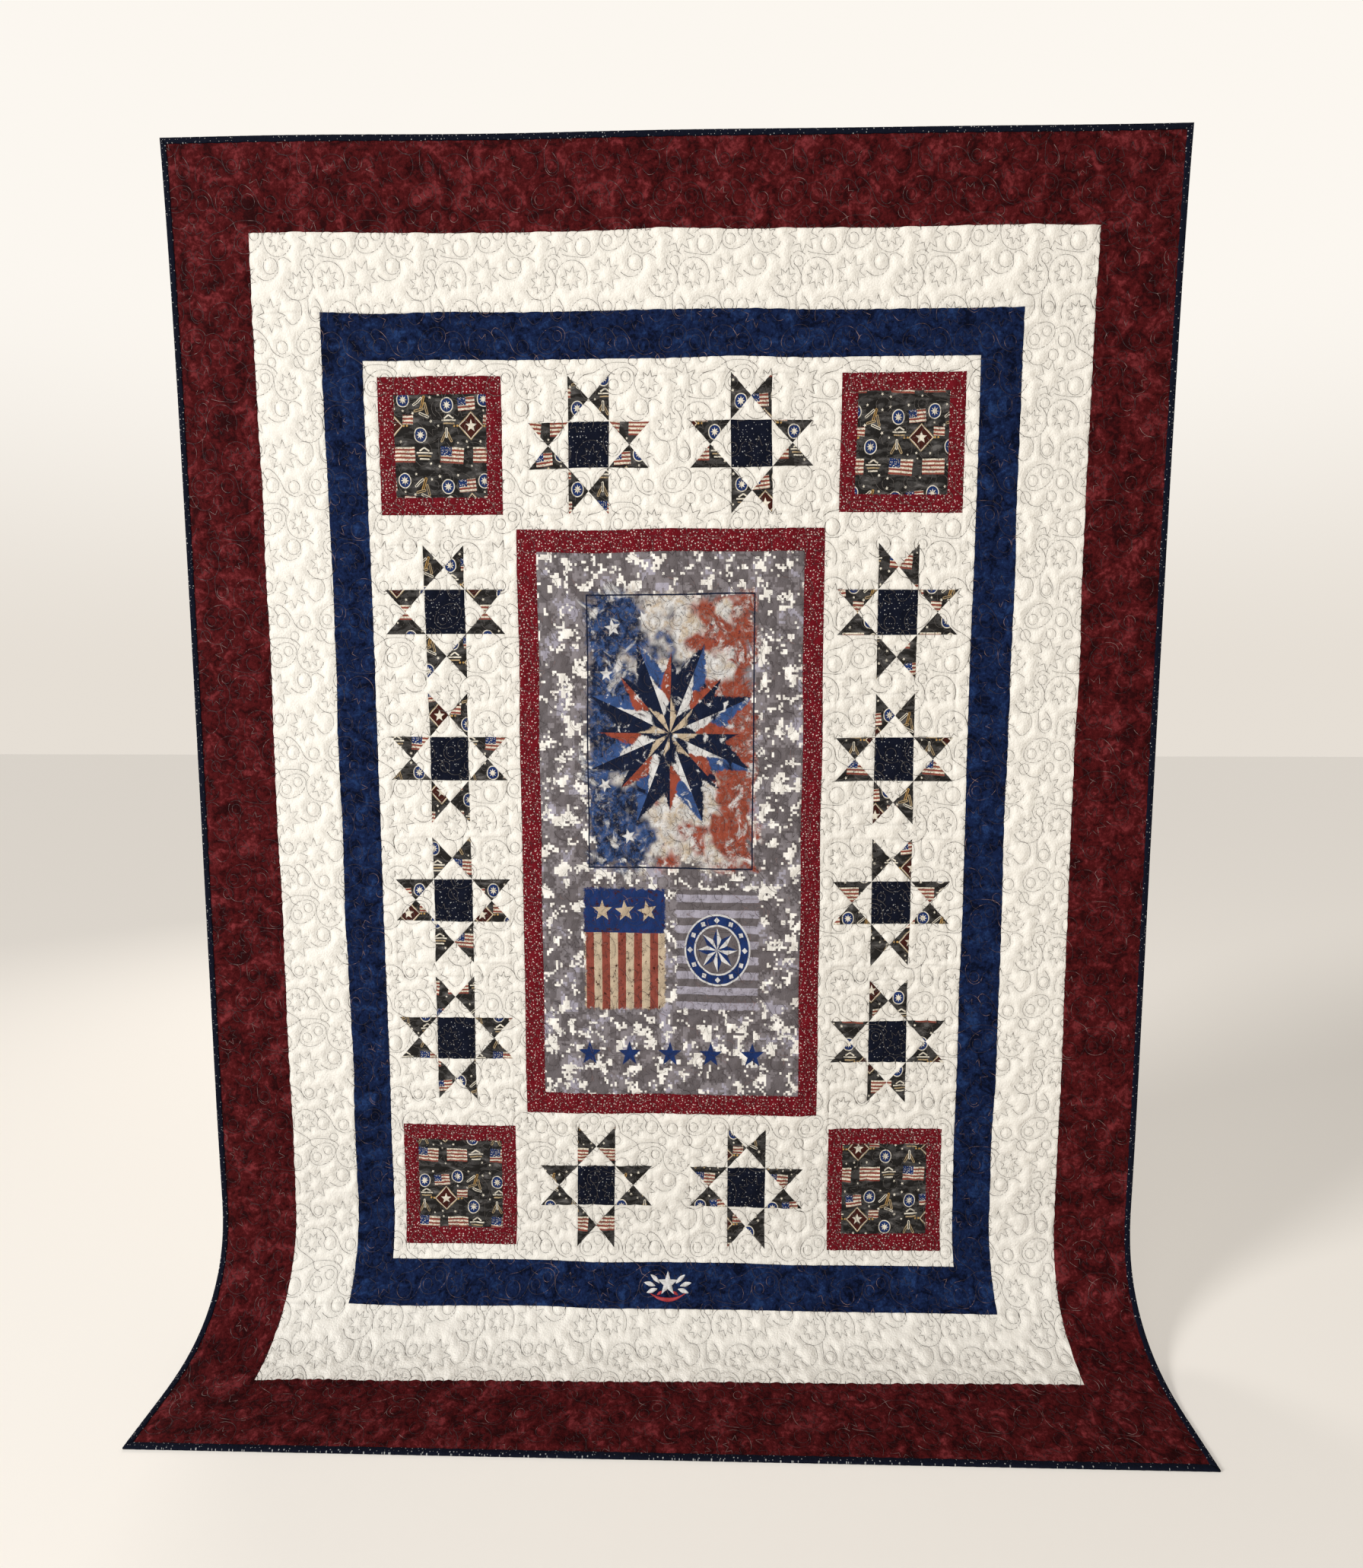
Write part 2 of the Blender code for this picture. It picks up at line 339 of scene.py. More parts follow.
puffed = 1.0 - np.exp(-((distance_to_stitches() / PUFF_REACH) ** 2))
front_lift = STITCH_LIFT + (PUFF_LIFT - STITCH_LIFT) * puffed
front_lift += FINE_RUMPLE * rumple(3, seed=5) * puffed + SOFT_RUMPLE * rumple(7, seed=6)
front_lift = RIM_LIFT + (front_lift - RIM_LIFT) * inside_rim


def new_material(name, roughness=0.94, gloss=0.05):
    """An empty cotton finish: its node tree and its shader."""
    material = bpy.data.materials.new(name)
    material.use_nodes = True
    shader = material.node_tree.nodes["Principled BSDF"]
    shader.inputs["Roughness"].default_value = roughness
    shader.inputs["Specular IOR Level"].default_value = gloss
    return material, material.node_tree, shader


def new_group(name, takes, gives):
    """A node group with sockets written as name: kind, and the sockets of its two end nodes."""
    group = bpy.data.node_groups.new(name, "ShaderNodeTree")
    for way, sockets in (("INPUT", takes), ("OUTPUT", gives)):
        for socket in sockets.split(", "):
            word, kind = socket.split(": ")
            group.interface.new_socket(name=word, in_out=way, socket_type="NodeSocket" + kind)
    given = group.nodes.new("NodeGroupInput").outputs
    return group, given, group.nodes.new("NodeGroupOutput").inputs


def join(tree, value, socket):
    """Links a socket, or sets a plain value."""
    if isinstance(value, bpy.types.NodeSocket):
        tree.links.new(value, socket)
    else:
        socket.default_value = value


def calc(tree, operation, *values, clamp=False):
    """One Math node."""
    node = tree.nodes.new("ShaderNodeMath")
    node.operation = operation
    node.use_clamp = clamp
    for value, socket in zip(values, node.inputs):
        join(tree, value, socket)
    return node.outputs[0]


def move(tree, operation, *values):
    """One Vector Math node."""
    node = tree.nodes.new("ShaderNodeVectorMath")
    node.operation = operation
    for value, socket in zip(values, node.inputs):
        join(tree, value, socket)
    return node.outputs["Value"] if operation in ("LENGTH", "DOT_PRODUCT") else node.outputs["Vector"]


def noise(tree, vector, scale, detail=2.0, roughness=0.5, distortion=0.0):
    """Soft random tones, 0 to 1."""
    node = tree.nodes.new("ShaderNodeTexNoise")
    settings = {"Scale": scale, "Detail": detail, "Roughness": roughness, "Distortion": distortion}
    for word, value in settings.items():
        join(tree, value, node.inputs[word])
    join(tree, vector, node.inputs["Vector"])
    return node.outputs["Fac"]


def spread(tree, value, low, high, to_low=0.0, to_high=1.0):
    """A value's range stretched, smoothly and clamped."""
    node = tree.nodes.new("ShaderNodeMapRange")
    node.interpolation_type = "SMOOTHSTEP"
    for word, number in (("From Min", low), ("From Max", high), ("To Min", to_low), ("To Max", to_high)):
        join(tree, number, node.inputs[word])
    join(tree, value, node.inputs["Value"])
    return node.outputs["Result"]


def dye(tree, share, first, second, kind="MIX"):
    """Two colours mixed by a share."""
    node = tree.nodes.new("ShaderNodeMix")
    node.data_type = "RGBA"
    node.blend_type = kind
    join(tree, share, node.inputs[0])
    join(tree, first, node.inputs[6])
    join(tree, second, node.inputs[7])
    return node.outputs[2]


def parts_of(tree, vector):
    """A vector's three numbers."""
    node = tree.nodes.new("ShaderNodeSeparateXYZ")
    join(tree, vector, node.inputs[0])
    return node.outputs


def stored_value(tree, word):
    """A value that the piece's points carry."""
    node = tree.nodes.new("ShaderNodeAttribute")
    node.attribute_name = word
    return node.outputs["Fac"]


def emboss(tree, shader, height, depth):
    """Feeds a height to the shader as bump."""
    bump = tree.nodes.new("ShaderNodeBump")
    bump.inputs["Strength"].default_value = 1.0
    bump.inputs["Distance"].default_value = depth
    join(tree, height, bump.inputs["Height"])
    join(tree, bump.outputs["Normal"], shader.inputs["Normal"])


def use(tree, group, **values):
    """A node group placed in a material; underscores in the names stand for spaces."""
    node = tree.nodes.new("ShaderNodeGroup")
    node.node_tree = group
    for word, value in values.items():
        join(tree, value, node.inputs[word.replace("_", " ")])
    return node.outputs


THREADS_PER_METRE = 1900.0
SLUBS_PER_METRE = 190.0
CLOUDS_PER_METRE = 22.0
CREASES_PER_METRE = 120.0
PUCKERS_PER_METRE = 300.0
THREAD_DEPTH = 0.00012
CREASE_DEPTH = 0.0012
PUCKER_DEPTH = 0.0009


def make_weave():
    """Plain-woven quilting cotton: slubby threads both ways, fine creases, and painted shade in the furrows
    of the stitching and along the seams.
    """
    takes = "Colour: Color, Vector: Vector, Slub: Float, Shade: Float"
    group, given, out = new_group("woven_cotton", takes, "Colour: Color, Height: Float")
    flat = given["Vector"]
    one_way = (THREADS_PER_METRE, SLUBS_PER_METRE, 1.0)
    other_way = (SLUBS_PER_METRE, THREADS_PER_METRE, 1.0)
    warp = noise(group, move(group, "MULTIPLY", flat, one_way), 1.0, 1.0)
    weft = noise(group, move(group, "MULTIPLY", flat, other_way), 1.0, 1.0)
    threads = calc(group, "ADD", warp, weft)
    creases = noise(group, flat, CREASES_PER_METRE, 2.0, 0.55, 0.35)
    tone = calc(group, "MULTIPLY_ADD", calc(group, "SUBTRACT", threads, 1.0), given["Slub"], 1.0)
    cloudy = spread(group, noise(group, flat, CLOUDS_PER_METRE, 3.0), 0.25, 0.75, 0.97, 1.02)
    puckers = noise(group, flat, PUCKERS_PER_METRE, 1.0, 0.5, 0.2)
    # Painted shade: the colour is darkened near the thread, where the cloth is drawn into the furrow, and
    # along the seams.
    near_thread = calc(group, "SUBTRACT", 1.0, stored_value(group, "puffed"), clamp=True)
    drawn_in = calc(group, "POWER", near_thread, 2.5)
    shaded = calc(group, "MAXIMUM", drawn_in, stored_value(group, "seam"))
    shade = calc(group, "SUBTRACT", 1.0, calc(group, "MULTIPLY", shaded, given["Shade"]))
    tone = calc(group, "MULTIPLY", calc(group, "MULTIPLY", tone, cloudy), shade)
    grey = group.nodes.new("ShaderNodeCombineXYZ")
    for socket in grey.inputs:
        join(group, tone, socket)
    colour = dye(group, 1.0, given["Colour"], grey.outputs[0], "MULTIPLY")
    crease_depth = calc(group, "MULTIPLY_ADD", drawn_in, 0.5 * CREASE_DEPTH, CREASE_DEPTH)
    creased = calc(group, "MULTIPLY", creases, crease_depth)
    height = calc(group, "MULTIPLY_ADD", threads, THREAD_DEPTH, creased)
    height = calc(group, "MULTIPLY_ADD", puckers, PUCKER_DEPTH, height)
    join(group, colour, out["Colour"])
    join(group, height, out["Height"])
    return group


woven_cotton = make_weave()


def finish_cotton(tree, shader, colour, slub=0.10, shade=0.14):
    """Weaves a colour into cotton, with painted shade in the furrows and along the seams, and feeds the
    shader.
    """
    woven = use(tree, woven_cotton, Colour=colour, Vector=cloth_vector(tree), Slub=slub, Shade=shade)
    join(tree, woven["Colour"], shader.inputs["Base Color"])
    emboss(tree, shader, woven["Height"], 1.0)


def cloth_vector(tree):
    """Place on the flat cloth, in metres, from the texture map named cloth."""
    node = tree.nodes.new("ShaderNodeUVMap")
    node.uv_map = "cloth"
    return node.outputs["UV"]


CREAM = (0.790, 0.750, 0.680, 1.0)


def plain_cotton(name, colour):
    """Cotton dyed one colour."""
    material, tree, shader = new_material(name)
    finish_cotton(tree, shader, colour)
    return material


def mesh_from(builder, name):
    """The mesh of a bmesh, which is then freed."""
    mesh = bpy.data.meshes.new(name)
    builder.to_mesh(mesh)
    builder.free()
    return mesh


def points_of(mesh):
    """The places of a mesh's points, one row each."""
    places = np.empty(len(mesh.vertices) * 3)
    mesh.vertices.foreach_get("co", places)
    return places.reshape(-1, 3)


def move_points(mesh, places):
    """Puts a mesh's points in new places, one row each."""
    mesh.vertices.foreach_set("co", places.ravel())
    mesh.update()


def store_value(mesh, word, values):
    """Gives each point a value under a name."""
    mesh.attributes.new(word, "FLOAT", "POINT").data.foreach_set("value", values.astype(np.float32))


def add_grid(builder, columns, rows, middle, half):
    """Adds a flat grid of faces round a middle, and returns its points."""
    matrix = Matrix.Translation((*middle, 0.0)) @ Matrix.Diagonal((*half, 1.0, 1.0))
    made = bmesh.ops.create_grid(builder, x_segments=columns, y_segments=rows, size=1.0, matrix=matrix)
    return made["verts"]


def add_object(name, data):
    """A new object at the origin of the scene."""
    made = bpy.data.objects.new(name, data)
    bpy.context.scene.collection.objects.link(made)
    return made


def add_cloth_map(mesh, across, along):
    """Stores each point's flat place as the texture map named cloth."""
    corners = np.empty(len(mesh.loops), dtype=int)
    mesh.loops.foreach_get("vertex_index", corners)
    layer = mesh.uv_layers.new(name="cloth")
    places = np.stack([across[corners], along[corners]], axis=1)
    layer.uv.foreach_set("vector", places.astype(np.float32).ravel())


def net_mesh(builder, name, lifts, rim_dip=0.0, pattern_shift=(0.0, 0.0)):
    """A mesh from a bmesh whose points are cells of the net, laid at the net's lifts."""
    rim = np.array([corner.is_boundary for corner in builder.verts], dtype=float)
    mesh = mesh_from(builder, name)
    cells = np.rint(points_of(mesh)).astype(int)
    spot = (cells[:, 1], cells[:, 0] + HALF_CELLS)
    add_cloth_map(mesh, net_across[spot] + pattern_shift[0], pattern_shift[1] - net_down[spot])
    # The puffed and seam values also tell the cotton finish where to paint shade, in the furrows and along
    # the seams.
    store_value(mesh, "puffed", puffed[spot])
    store_value(mesh, "seam", rim)
    points = place(cloth_across[spot], cloth_down[spot], lifts[spot] - rim_dip * rim)
    move_points(mesh, points)
    return mesh


def finish_piece(mesh, name, finish):
    """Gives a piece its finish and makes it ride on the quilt."""
    mesh.materials.append(finish)
    mesh.shade_smooth()
    piece = add_object(name, mesh)
    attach(piece, "root")
    return piece


BACK_LIFT = -0.0025
BACK_DIMPLE = 0.0008
BACK_STEP = 2
back_lift = BACK_LIFT + BACK_DIMPLE * (1.0 - puffed)
back_lift = -RIM_LIFT + (back_lift + RIM_LIFT) * inside_rim


def make_backing():
    """The cream sheet that the whole quilt is sewn to."""
    builder = bmesh.new()
    columns = HALF_CELLS * 2 // BACK_STEP
    rows = LENGTH_CELLS // BACK_STEP
    add_grid(builder, columns, rows, (0.0, LENGTH_CELLS / 2), (HALF_CELLS, LENGTH_CELLS / 2))
    mesh = net_mesh(builder, "backing", back_lift)
    backing = finish_piece(mesh, "backing", plain_cotton("cream_backing", CREAM))
    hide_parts("quilted_body")
    return backing


backing = make_backing()

# The burgundy border
# Four wide strips of marbled wine-red cotton go round the outside, the side strips first.
# Like every patch of the top they are cut square and sewn edge to edge, and the seams sink a little.
SEAM_DIP = 0.0006
QUILT_HALF_WIDTH = 36.5
QUILT_LAST = 91.0
WHITE_HALF_WIDTH = 30.5
WHITE_FIRST = 6.0
WHITE_LAST = 85.0
BURGUNDY_DARK = (0.021, 0.0023, 0.0029, 1.0)
BURGUNDY_MIDDLE = (0.059, 0.0050, 0.0058, 1.0)
BURGUNDY_LIGHT = (0.158, 0.0220, 0.0250, 1.0)


def cut_patch(builder, left, right, top, bottom):
    """Adds a rectangle of cloth between places in inches, and returns its points."""
    across = round((right - left) * CELLS_PER_INCH)
    down = round((bottom - top) * CELLS_PER_INCH)
    middle = ((left + right) * CELLS_PER_INCH / 2, (top + bottom) * CELLS_PER_INCH / 2)
    return add_grid(builder, across, down, middle, (across / 2, down / 2))


def lay_patches(name, patches, finish, pattern_shift=(0.0, 0.0)):
    """Lays patches as one piece on the quilted front, each given as left, right, top and bottom in inches.

    With the name of a side too, only the quarter of the patch against that side is kept."""
    builder = bmesh.new()
    for patch in patches:
        cut = cut_patch if len(patch) == 4 else cut_triangle
        cut(builder, *patch)
    bmesh.ops.reverse_faces(builder, faces=builder.faces)
    mesh = net_mesh(builder, name, front_lift, SEAM_DIP, pattern_shift)
    return finish_piece(mesh, name, finish)


def sew_border(name, finish, outer, inner):
    """Four strips between two rectangles, each given as half width, first and last place down."""
    half, first, last = outer
    inner_half, inner_first, inner_last = inner
    strips = {
        "left": (-half, -inner_half, inner_first, inner_last),
        "right": (inner_half, half, inner_first, inner_last),
        "top": (-half, half, first, inner_first),
        "bottom": (-half, half, inner_last, last),
    }
    for side, edges in strips.items():
        lay_patches(f"{name}_{side}", [edges], finish)


def make_marbling():
    """Cloudy dye in three tones of one colour."""
    takes = "Vector: Vector, Dark: Color, Middle: Color, Light: Color, Scale: Float"
    group, given, out = new_group("marbled_dye", takes, "Colour: Color")
    flat = given["Vector"]
    scale = given["Scale"]
    pools = noise(group, flat, scale, 5.0, 0.62, 0.9)
    fine = noise(group, flat, calc(group, "MULTIPLY", scale, 5.0), 4.0, 0.65, 0.4)
    veins = calc(group, "ADD", calc(group, "MULTIPLY", pools, 0.62), calc(group, "MULTIPLY", fine, 0.38))
    colour = dye(group, spread(group, veins, 0.40, 0.50), given["Dark"], given["Middle"])
    colour = dye(group, spread(group, veins, 0.50, 0.64), colour, given["Light"])
    join(group, colour, out["Colour"])
    return group


marbled_dye = make_marbling()


def marbled_cotton(name, dark, middle, light, scale):
    """Cotton dyed in three tones, with pools of about 1 / scale metres."""
    material, tree, shader = new_material(name)
    flat = cloth_vector(tree)
    dyed = use(tree, marbled_dye, Vector=flat, Dark=dark, Middle=middle, Light=light, Scale=scale)
    finish_cotton(tree, shader, dyed["Colour"], slub=0.14, shade=0.18)
    return material


burgundy_cotton = marbled_cotton("burgundy_cotton", BURGUNDY_DARK, BURGUNDY_MIDDLE, BURGUNDY_LIGHT, 26.0)
quilt_edge = (QUILT_HALF_WIDTH, 0.0, QUILT_LAST)
white_edge = (WHITE_HALF_WIDTH, WHITE_FIRST, WHITE_LAST)
sew_border("burgundy_border", burgundy_cotton, quilt_edge, white_edge)

# The white border
# Four strips of plain cream cotton, a little narrower than the burgundy.
NAVY_HALF_WIDTH = 25.5
NAVY_FIRST = 11.0
NAVY_LAST = 80.0
cream_cotton = plain_cotton("cream_cotton", CREAM)
navy_edge = (NAVY_HALF_WIDTH, NAVY_FIRST, NAVY_LAST)
sew_border("white_border", cream_cotton, white_edge, navy_edge)

# The navy border
# Four narrow strips of mottled navy cotton frame the pieced field.
FIELD_HALF_WIDTH = 22.5
FIELD_FIRST = 14.0
FIELD_LAST = 77.0
NAVY_DARK = (0.0020, 0.0038, 0.0140, 1.0)
NAVY_MIDDLE = (0.0058, 0.0125, 0.0460, 1.0)
NAVY_LIGHT = (0.0140, 0.0350, 0.1100, 1.0)
navy_cotton = marbled_cotton("navy_cotton", NAVY_DARK, NAVY_MIDDLE, NAVY_LIGHT, 34.0)
field_edge = (FIELD_HALF_WIDTH, FIELD_FIRST, FIELD_LAST)
sew_border("navy_border", navy_cotton, navy_edge, field_edge)

# The cream field
# Cream strips set the blocks and the centre panel apart, and cream patches back each star.
BLOCK = 9.0
UNIT = 3.0
SIDE_COLUMN = 17.0
SIDE_ROWS = (30.5, 40.5, 50.5, 60.5)
END_COLUMN = 6.0
TOP_ROW = 19.5
BOTTOM_ROW = 71.5
PANEL_FRAME_HALF_WIDTH = 11.5
PANEL_FRAME_FIRST = 25.0
PANEL_FRAME_LAST = 66.0
star_middles = [(side * SIDE_COLUMN, down) for down in SIDE_ROWS for side in (-1, 1)]
star_middles += [(side * END_COLUMN, down) for down in (TOP_ROW, BOTTOM_ROW) for side in (-1, 1)]
corner_middles = [(side * SIDE_COLUMN, down) for down in (TOP_ROW, BOTTOM_ROW) for side in (-1, 1)]
half_block = BLOCK / 2
star_units = (
    (0, -1, "top", "bottom"),
    (0, 1, "bottom", "top"),
    (-1, 0, "left", "right"),
    (1, 0, "right", "left"),
)


def cut_triangle(builder, left, right, top, bottom, side):
    """Adds the quarter of a square patch that lies against one of its sides."""
    corners = cut_patch(builder, left, right, top, bottom)
    middle = Vector((left + right, top + bottom, 0.0)) * CELLS_PER_INCH / 2
    towards = {"left": (-1, 0), "right": (1, 0), "top": (0, -1), "bottom": (0, 1)}[side]
    for lean in (-1, 1):
        faces = dict.fromkeys(face for corner in corners if corner.is_valid for face in corner.link_faces)
        edges = dict.fromkeys(edge for face in faces for edge in face.edges)
        points = dict.fromkeys(corner for face in faces for corner in face.verts)
        outwards = Vector((towards[1] * lean - towards[0], towards[0] * lean - towards[1], 0.0))
        bmesh.ops.bisect_plane(
            builder,
            geom=[*points, *edges, *faces],
            dist=0.01,
            plane_co=middle,
            plane_no=outwards.normalized(),
            clear_outer=True,
        )


def square(across, down, half):
    """Left, right, top and bottom of a square round a place."""
    return across - half, across + half, down - half, down + half


def unit_edges(middle, column, row):
    """The edges of one square of a star block; the middle square is column 0, row 0."""
    return square(middle[0] + column * UNIT, middle[1] + row * UNIT, UNIT / 2)


def mirrored(inner, outer, top, bottom):
    """The same strip on both sides of the middle line."""
    return [(-outer, -inner, top, bottom), (inner, outer, top, bottom)]


def sew_cream_field():
    """Strips above, below and beside the blocks, then beside the panel, then between the blocks."""
    side_inner = SIDE_COLUMN - half_block
    side_outer = SIDE_COLUMN + half_block
    end_inner = END_COLUMN - half_block
    end_outer = END_COLUMN + half_block
    first = TOP_ROW - half_block
    last = BOTTOM_ROW + half_block
    strips = [
        (-FIELD_HALF_WIDTH, FIELD_HALF_WIDTH, FIELD_FIRST, first),
        (-FIELD_HALF_WIDTH, FIELD_HALF_WIDTH, last, FIELD_LAST),
        *mirrored(side_outer, FIELD_HALF_WIDTH, first, last),
        (-PANEL_FRAME_HALF_WIDTH, PANEL_FRAME_HALF_WIDTH, first + BLOCK, PANEL_FRAME_FIRST),
        (-PANEL_FRAME_HALF_WIDTH, PANEL_FRAME_HALF_WIDTH, PANEL_FRAME_LAST, last - BLOCK),
        *mirrored(PANEL_FRAME_HALF_WIDTH, side_inner, first + BLOCK, last - BLOCK),
    ]
    for top in (first, last - BLOCK):
        strips.append((-end_inner, end_inner, top, top + BLOCK))
        strips += mirrored(end_outer, side_inner, top, top + BLOCK)
    block_edges = [down + edge for down in SIDE_ROWS for edge in (-half_block, half_block)]
    gaps = [first + BLOCK, *block_edges, last - BLOCK]
    for top, bottom in zip(gaps[0::2], gaps[1::2]):
        strips += mirrored(side_inner, side_outer, top, bottom)
    lay_patches("cream_field", strips, cream_cotton)


def sew_star_grounds():
    """The cream corners and side triangles of every star block."""
    patches = []
    for middle in star_middles:
        patches += [unit_edges(middle, column, row) for column in (-1, 1) for row in (-1, 1)]
        for column, row, *sides in star_units:
            patches += [(*unit_edges(middle, column, row), side) for side in sides]
    lay_patches("star_grounds", patches, cream_cotton)


sew_cream_field()
sew_star_grounds()

# The pieced stars
# Twelve stars: eight print triangles for the points, and a dark speckled square in the middle.
NEAR_BLACK = (0.0052, 0.0068, 0.0150, 1.0)
PALE_SPECK = (0.40, 0.40, 0.39, 1.0)
SMALLEST_SPECK = 0.6
SPECK_UNEVENNESS = 0.8
SPECK_EDGE = 0.04


def make_specks():
    """Small dots scattered over the cloth."""
    takes = "Vector: Vector, Scale: Float, Size: Float, Share: Float"
    group, given, out = new_group("scattered_specks", takes, "Mask: Float")
    cells = group.nodes.new("ShaderNodeTexVoronoi")
    cells.voronoi_dimensions = "2D"
    join(group, given["Vector"], cells.inputs["Vector"])
    join(group, given["Scale"], cells.inputs["Scale"])
    draw = group.nodes.new("ShaderNodeSeparateColor")
    join(group, cells.outputs["Color"], draw.inputs[0])
    uneven = calc(group, "MULTIPLY_ADD", draw.outputs[0], SPECK_UNEVENNESS, SMALLEST_SPECK)
    size = calc(group, "MULTIPLY", given["Size"], uneven)
    within = calc(group, "SUBTRACT", size, cells.outputs["Distance"])
    dot = spread(group, within, -SPECK_EDGE, SPECK_EDGE)
    chosen = calc(group, "LESS_THAN", draw.outputs[1], given["Share"])
    join(group, calc(group, "MULTIPLY", dot, chosen), out["Mask"])
    return group


scattered_specks = make_specks()


def speckled_cotton(name, ground, speck, layers):
    """Cotton with layers of specks, each given as scale, size and share."""
    material, tree, shader = new_material(name)
    flat = cloth_vector(tree)
    colour = ground
    for scale, size, share in layers:
        specks = use(tree, scattered_specks, Vector=flat, Scale=scale, Size=size, Share=share)
        colour = dye(tree, specks["Mask"], colour, speck)
    finish_cotton(tree, shader, colour)
    return material


NAVY_SPECKS = ((240.0, 0.12, 0.12), (110.0, 0.088, 0.48))
speckled_navy = speckled_cotton("speckled_navy", NEAR_BLACK, PALE_SPECK, NAVY_SPECKS)

PRINT_REPEAT = (5.8, 5.25)
PRINT_EDGE = 0.012
FULLY_ROUND = 0.001
CHARCOAL = (0.0170, 0.0155, 0.0145, 1.0)
SMOKE = (0.0460, 0.0430, 0.0410, 1.0)
ASH = (0.1200, 0.1120, 0.1070, 1.0)
PRINT_CREAM = (0.680, 0.620, 0.510, 1.0)
PRINT_NAVY = (0.0130, 0.0300, 0.1120, 1.0)
PRINT_GOLD = (0.480, 0.280, 0.090, 1.0)
PRINT_TAN = (0.400, 0.290, 0.160, 1.0)
PRINT_OXBLOOD = (0.0500, 0.0130, 0.0095, 1.0)
PRINT_BRICK = (0.2300, 0.0560, 0.0400, 1.0)
STRIPE_PAIR = 0.26
LEAF_HALF_WIDTH = 0.085
LEAF_EDGE = 0.05
DISC_HALF = (0.46, 0.50)
DISC_RING = 0.065
DISC_STAR = 0.30
LOZENGE_MIDDLE = (2.62, 2.42)
LOZENGE_REACH = 0.92
LOZENGE_STAR = 0.42
LOZENGE_DOTS = (0.98, 1.22)
DOT_RADIUS = 0.07
BAR_STEP = 0.20
BAR_HALF_HEIGHT = 0.045
CHEVRON_ARM = (0.20, 0.05)
CHEVRON_PLACE = (0.17, -0.22)
CHEVRON_LEAN = 32
PRINTED_DISCS = ((0.90, 1.10), (3.55, 0.72), (4.78, 3.00))
PRINTED_BLOCKS = table(
    "middle half turn dotted",
    ((3.55, 4.28), (0.80, 0.50), 0, False),
    ((1.22, 4.30), (0.84, 0.52), -4, True),
    ((2.30, 1.02), (0.62, 0.42), 5, True),
    ((3.90, 2.02), (0.40, 0.30), -3, False),
)
PRINTED_LADDERS = table(
    "middle halves",
    ((5.05, 4.16), (0.56, 0.46, 0.34)),
    ((1.02, 2.06), (0.50, 0.40)),
)
PRINTED_STARS = table(
    "middle radius turn",
    ((0.30, 0.42), 0.13, 8),
    ((1.62, 0.34), 0.12, 30),
    ((4.42, 0.30), 0.11, 12),
    ((4.28, 1.62), 0.13, 20),
    ((5.52, 0.62), 0.12, 4),
    ((5.55, 2.12), 0.13, 26),
    ((0.28, 2.42), 0.10, 15),
    ((2.30, 3.42), 0.11, 0),
    ((3.30, 3.42), 0.12, 22),
    ((1.68, 3.52), 0.09, 12),
    ((3.55, 1.45), 0.10, 9),
    ((0.32, 5.02), 0.12, 18),
    ((2.62, 4.98), 0.10, 5),
    ((5.50, 4.85), 0.12, 33),
    ((2.38, 3.78), 0.09, 10),
)
PRINTED_LEAVES = table(
    "middle turn length colour",
    ((4.62, 0.86), 38, 0.42, PRINT_CREAM),
    ((4.98, 0.94), 72, 0.46, PRINT_GOLD),
    ((5.24, 1.32), 104, 0.40, PRINT_TAN),
    ((4.72, 1.42), 14, 0.36, PRINT_TAN),
    ((5.08, 1.74), -22, 0.38, PRINT_CREAM),
    ((0.66, 3.12), 62, 0.40, PRINT_TAN),
    ((1.06, 3.12), 118, 0.40, PRINT_TAN),
    ((0.86, 2.86), 90, 0.34, PRINT_CREAM),
)


def make_printed_shape():
    """A printed rectangle with rounded corners: how far inside it a place lies, and where."""
    takes = "Vector: Vector, Middle: Vector, Half Size: Vector, Corner: Float, Turn: Float"
    group, given, out = new_group("printed_shape", takes, "Inside: Float, Local: Vector")
    turned = group.nodes.new("ShaderNodeVectorRotate")
    turned.rotation_type = "Z_AXIS"
    from_middle = move(group, "SUBTRACT", given["Vector"], given["Middle"])
    join(group, from_middle, turned.inputs["Vector"])
    join(group, given["Turn"], turned.inputs["Angle"])
    local = turned.outputs["Vector"]
    size = parts_of(group, given["Half Size"])
    place_parts = parts_of(group, move(group, "ABSOLUTE", local))
    beyond = []
    for axis in (0, 1):
        edge = calc(group, "SUBTRACT", size[axis], given["Corner"])
        beyond.append(calc(group, "SUBTRACT", place_parts[axis], edge))
    squares = [calc(group, "POWER", calc(group, "MAXIMUM", value, 0.0), 2.0) for value in beyond]
    outside = calc(group, "SQRT", calc(group, "ADD", *squares))
    within = calc(group, "MINIMUM", calc(group, "MAXIMUM", *beyond), 0.0)
    inside = calc(group, "SUBTRACT", given["Corner"], calc(group, "ADD", outside, within))
    join(group, inside, out["Inside"])
    join(group, local, out["Local"])
    return group


